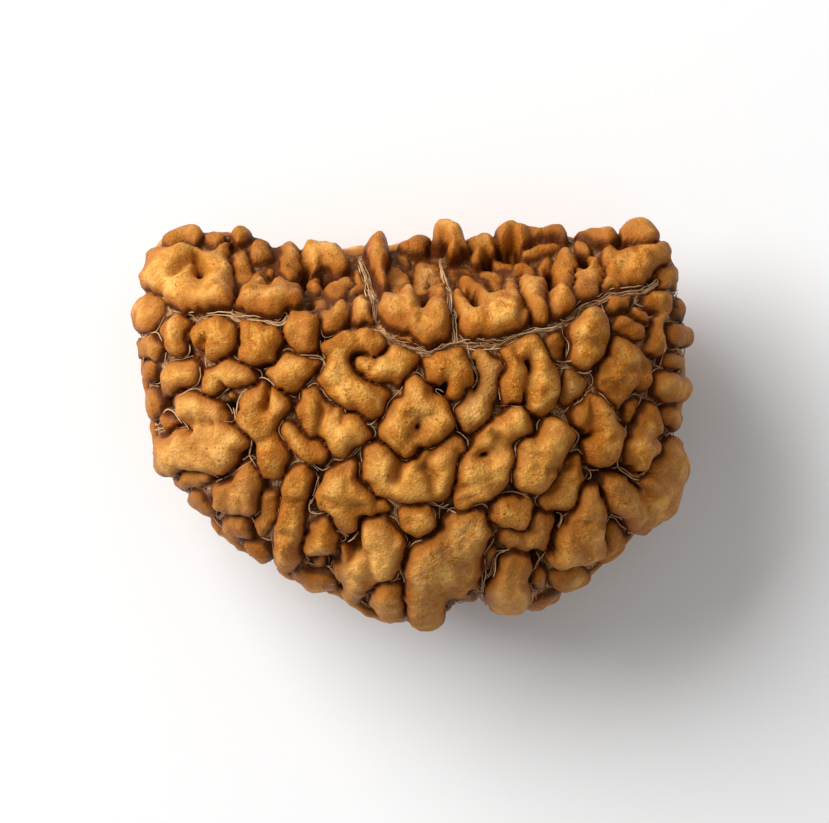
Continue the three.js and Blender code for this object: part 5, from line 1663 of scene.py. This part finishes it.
@dataclass(frozen=True)
class SeedWood:
    """The hard, oily wood of the stone: golden crowns, mottling, dull dusty lobes and painted furrow shade.

    Its colour is laid on in washes. `rise` is how high a place lies on its lobe, from 0 to 1, and
    `inside` how far from the lobe's edge in millimetres; `flank` joins both, blurred by the grain.
    Where `flank` or `inside` is low, washes paint shade on the lobes' lower walls and edges.
    """

    pale: Colour = (0.78, 0.395, 0.088)
    golden: Colour = (0.48, 0.172, 0.014)
    russet: Colour = (0.31, 0.086, 0.006)
    # Painted shade colour, for the lower walls of the lobes.
    olive_shade: Colour = (0.24, 0.064, 0.003)
    # Painted shade colour, for the foot of the lobes' walls and a thin line round each lobe's edge.
    crevice_shade: Colour = (0.075, 0.013, 0.001)
    dusty: Colour = (0.58, 0.32, 0.11)
    speck: Colour = (0.10, 0.022, 0.004)
    flesh: Colour = (0.80, 0.50, 0.25)
    mottle: Clouds = Clouds(1.4, 5, 0.8)
    stops: tuple[float, float, float] = (0.32, 0.46, 0.66)
    grain: Clouds = Clouds(0.24)
    fine: Clouds = Clouds(0.13)
    wear: Clouds = Clouds(0.8)
    dark_grain: Fade = Fade(0.48, 0.72, 0.5)
    pale_fine: Fade = Fade(0.44, 0.3, 0.6)
    dark_fine: Fade = Fade(0.55, 0.68, 0.5)
    pale_lobes: Fade = Fade(0.5, 1, 0.3)
    dark_lobes: Fade = Fade(0.4, 0, 0.35)
    dust_patches: Clouds = Clouds(0.5, 4)
    dust_patchy: Fade = Fade(0.35, 0.6, 1, 0.3)
    speck_spots: Clouds = Clouds(0.2, 1, 0.4)
    speck_edge: Fade = Fade(0.63, 0.72)
    speck_groups: Clouds = Clouds(1.9)
    speck_group_edge: Fade = Fade(0.48, 0.62)
    speck_share: float = 0.75
    flank_by_rise: Fade = Fade(0.15, 0.8)
    flank_by_inside: Fade = Fade(0.0, 0.3, 0.15, -0.15)
    flank_by_grain: Fade = Fade(0.3, 0.7, 0.18, -0.18)
    # Painted shade: russet darkens each lobe below its crown and within about 0.6 mm of its edge.
    russet_slope_shade: Fade = Fade(0.95, 0.7, 0.4)
    russet_edge_shade: Fade = Fade(0.6, 0.08, 0.8)
    # Painted shade: olive over the lower walls of each lobe, where flank is low.
    olive_flank_shade: Fade = Fade(0.8, 0.15, 0.85)
    # Painted shade: near-black at the foot of the walls, and a thin dark line at the lobes' edges where their
    # undercut shadow falls.
    dark_flank_shade: Fade = Fade(0.2, -0.12)
    dark_edge_shadow: Fade = Fade(0.15, 0.04, 0.92)
    flesh_clumps: Clouds = Clouds(0.35)
    flesh_clump_edge: Fade = Fade(0.34, 0.54, 1, 0.3)
    flesh_stained: Fade = Fade(0.4, 0.6, 0.85)
    rough_by_wear: Fade = Fade(0.3, 0.7, 0.66, 0.42)
    rough_by_flank: Fade = Fade(0.1, 0.6, 0, 1)
    rough_by_dust: Fade = Fade(0, 0.5, 0.85)
    shine: float = 0.28
    shine_tint: Colour = (1.0, 0.75, 0.45)
    bump_by_grain: Fade = Fade(0.2, 0.8, 0.55)
    bump_by_fine: Fade = Fade(0.2, 0.8, 0.6)
    bump_by_wear: Fade = Fade(0.2, 0.8, 0.6)
    crumbs: Clouds = Clouds(0.3)
    bump_by_crumbs: Fade = Fade(0.3, 0.7, 1.6)
    speck_depth: float = 0.7
    bump_strength: float = 0.6
    bump_height: float = 0.09

    def make(self) -> Material:
        """Builds the material.

        Returns:
            The new material.
        """
        bench = NodeBench("seed_wood")
        place, foot = bench.place(), bench.attribute("foot", "Vector")
        rise, inside, dust = (bench.attribute(name) for name in ("rise", "inside", "dust"))
        grain, fine = bench.clouds(foot, self.grain), bench.clouds(place, self.fine)
        wear, specks = bench.clouds(place, self.wear), self._specks(bench, place)
        # flank grows with height and depth inside a lobe; where it is low, washes paint shade and the
        # roughness rises.
        flank = bench.join(Join.ADD, bench.fade(rise, self.flank_by_rise),
                           bench.fade(inside, self.flank_by_inside), bench.fade(grain, self.flank_by_grain))
        colour = self._crown(bench, place, grain, fine, dust)
        colour = bench.mix(bench.join(Join.MULTIPLY, specks, self.speck_share), colour, self.speck)
        # Painted shade: the russet, olive and crevice washes here darken the lobes' lower walls, their edges
        # and the furrows.
        colour = bench.washed(colour, (rise, self.russet_slope_shade, self.russet),
                              (inside, self.russet_edge_shade, self.russet), (flank, self.olive_flank_shade, self.olive_shade),
                              (flank, self.dark_flank_shade, self.crevice_shade), (inside, self.dark_edge_shadow, self.crevice_shade))
        rough = bench.join(Join.LARGER, bench.fade(wear, self.rough_by_wear),
                           bench.fade(flank, self.rough_by_flank), bench.fade(dust, self.rough_by_dust))
        crumbs = bench.fade(bench.clouds(place, self.crumbs), self.bump_by_crumbs)
        heights = bench.join(Join.ADD, bench.fade(grain, self.bump_by_grain),
                             bench.fade(fine, self.bump_by_fine), bench.fade(wear, self.bump_by_wear),
                             bench.join(Join.MULTIPLY, crumbs, dust))
        heights = bench.join(Join.SUBTRACT, heights, bench.join(Join.MULTIPLY, specks, self.speck_depth))
        bump = bench.add("ShaderNodeBump")
        bench.feed(self.bump_strength, bump.inputs["Strength"])
        bench.feed(self.bump_height * MM, bump.inputs["Distance"])
        bench.feed(heights, bump.inputs["Height"])
        return bench.finish(Base_Color=self._furrow_flesh(bench, place, fine, colour), Roughness=rough,
                            Specular_IOR_Level=self.shine, Specular_Tint=self.shine_tint,
                            Normal=bump.outputs["Normal"])

    def _crown(self, bench: NodeBench, place: Socket, grain: Socket, fine: Socket, dust: Socket) -> Socket:
        """The colour of the lobes' tops: mottled gold, with each lobe's own tone and dust.

        Args:
            bench: The material's bench.
            place: Where clouds are read.
            grain: The wood's grain.
            fine: Its finest grain.
            dust: How dusty the lobes are.

        Returns:
            The colour.
        """
        stops = list(zip(self.stops, (self.russet, self.golden, self.pale)))
        tone = bench.attribute("tone")
        colour = bench.washed(bench.ramp(bench.clouds(place, self.mottle), stops),
                              (grain, self.dark_grain, self.russet), (fine, self.pale_fine, self.pale),
                              (fine, self.dark_fine, self.russet), (tone, self.pale_lobes, self.pale),
                              (tone, self.dark_lobes, self.russet))
        patches = bench.fade(bench.clouds(place, self.dust_patches), self.dust_patchy)
        return bench.mix(bench.join(Join.MULTIPLY, dust, patches), colour, self.dusty)

    def _specks(self, bench: NodeBench, place: Socket) -> Socket:
        """Where tiny dark pits lie: loose groups of uneven specks.

        Args:
            bench: The material's bench.
            place: Where clouds are read.

        Returns:
            The share, 0 to 1.
        """
        spots = bench.fade(bench.clouds(place, self.speck_spots), self.speck_edge)
        groups = bench.fade(bench.clouds(place, self.speck_groups), self.speck_group_edge)
        return bench.join(Join.MULTIPLY, spots, groups)

    def _furrow_flesh(self, bench: NodeBench, place: Socket, fine: Socket, colour: Socket) -> Socket:
        """Lays dried flesh over the furrows' floors.

        Args:
            bench: The material's bench.
            place: Where clouds are read.
            fine: The finest grain.
            colour: The colour so far.

        Returns:
            The colour with the flesh on it.
        """
        clumps = bench.fade(bench.clouds(place, self.flesh_clumps), self.flesh_clump_edge)
        share = bench.join(Join.MULTIPLY, bench.attribute("mat"), clumps)
        return bench.mix(share, colour, bench.washed(self.flesh, (fine, self.flesh_stained, self.russet)))


@dataclass(frozen=True)
class SoftLight:
    """One square lamp: where it hangs in metres, the length of its sides and its power in watts."""

    name: str
    at: Place
    size: float
    power: float

    def build(self, aim: Vector) -> None:
        """Hangs the lamp.

        Args:
            aim: The place that it faces.
        """
        data = bpy.data.lights.new(self.name, "AREA")
        data.size = self.size
        data.energy = self.power
        light = in_scene(self.name, data)
        light.location = self.at
        light.rotation_euler = (aim - Vector(self.at)).to_track_quat("-Z", "Y").to_euler()


@dataclass
class Studio:
    """A plain pale floor, soft lights and the camera at the photograph's angle."""

    seed_at: Place
    lens: float = 300.0
    middle_height: float = 12.0
    view_end: float = 10.0
    floor_side: float = 3.0
    paper: Colour = (0.9, 0.9, 0.9)
    air: Colour = (1.0, 1.0, 1.0)
    air_strength: float = 0.33
    aim_height: float = 0.008
    lights: tuple[SoftLight, ...] = (
        SoftLight("key", (-0.33, 0.23, 0.27), 0.42, 3.95),
        SoftLight("fill", (0.2, -0.05, 0.4), 0.5, 0.15),
    )

    def build(self) -> None:
        """Adds the floor, the camera, the lights and the air."""
        self._floor()
        self._camera()
        for light in self.lights:
            light.build(Vector((0, 0, self.aim_height)))
        scene, world = bpy.context.scene, bpy.data.worlds.new("studio_air")
        world.use_nodes = True
        air = world.node_tree.nodes["Background"].inputs
        air["Color"].default_value = (*self.air, 1)
        air["Strength"].default_value = self.air_strength
        scene.world = world
        scene.view_settings.view_transform = "Standard"

    def _floor(self) -> None:
        """Adds the floor."""
        side = self.floor_side
        corners = [(x * side, y * side, 0) for x, y in ((-1, -1), (1, -1), (1, 1), (-1, 1))]
        floor = mesh_in_scene("floor", corners, [(0, 1, 2, 3)])
        floor.data.materials.append(NodeBench("pale_paper").finish(Base_Color=self.paper))

    def _camera(self) -> None:
        """Adds the camera, straight over the seed as in the photograph."""
        data = bpy.data.cameras.new("camera")
        data.lens = self.lens
        data.clip_end = self.view_end
        camera = in_scene("camera", data)
        away = PHOTO_SIZE[0] / PHOTO_PIXELS_PER_MM * self.lens / data.sensor_width
        x = (PHOTO_SIZE[0] / 2 - PHOTO_ORIGIN[0]) / PHOTO_PIXELS_PER_MM + self.seed_at[0]
        y = (PHOTO_ORIGIN[1] - PHOTO_SIZE[1] / 2) / PHOTO_PIXELS_PER_MM + self.seed_at[1]
        camera.location = (x * MM, y * MM, (self.middle_height + away) * MM)
        bpy.context.scene.camera = camera


def mount(piece: Object, finish: Material) -> None:
    """Dresses a piece, lets it stand for the stone and reports it.

    Args:
        piece: The piece.
        finish: Its material.
    """
    piece.data.materials.append(finish)
    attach(piece, "root")
    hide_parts("rudraksha_seed")
    piece.data.calc_loop_triangles()
    LOG.info("%s: %d triangles", piece.name, len(piece.data.loop_triangles))


def main() -> None:
    """Builds the seed and the studio round it."""
    logging.basicConfig(level=logging.INFO, format="%(message)s")
    lobes = LobeField(Core())
    LOG.info("lobes: %d, of them %d on the front", len(lobes.extra), lobes.front_count)
    body = SeedBody(lobes)
    stone = body.build()
    mount(stone, SeedWood().make())
    mount(FurrowThreads(lobes, body, stone).build(), DriedThread().make())
    Studio(body.place).build()


if __name__ == "__main__":
    main()
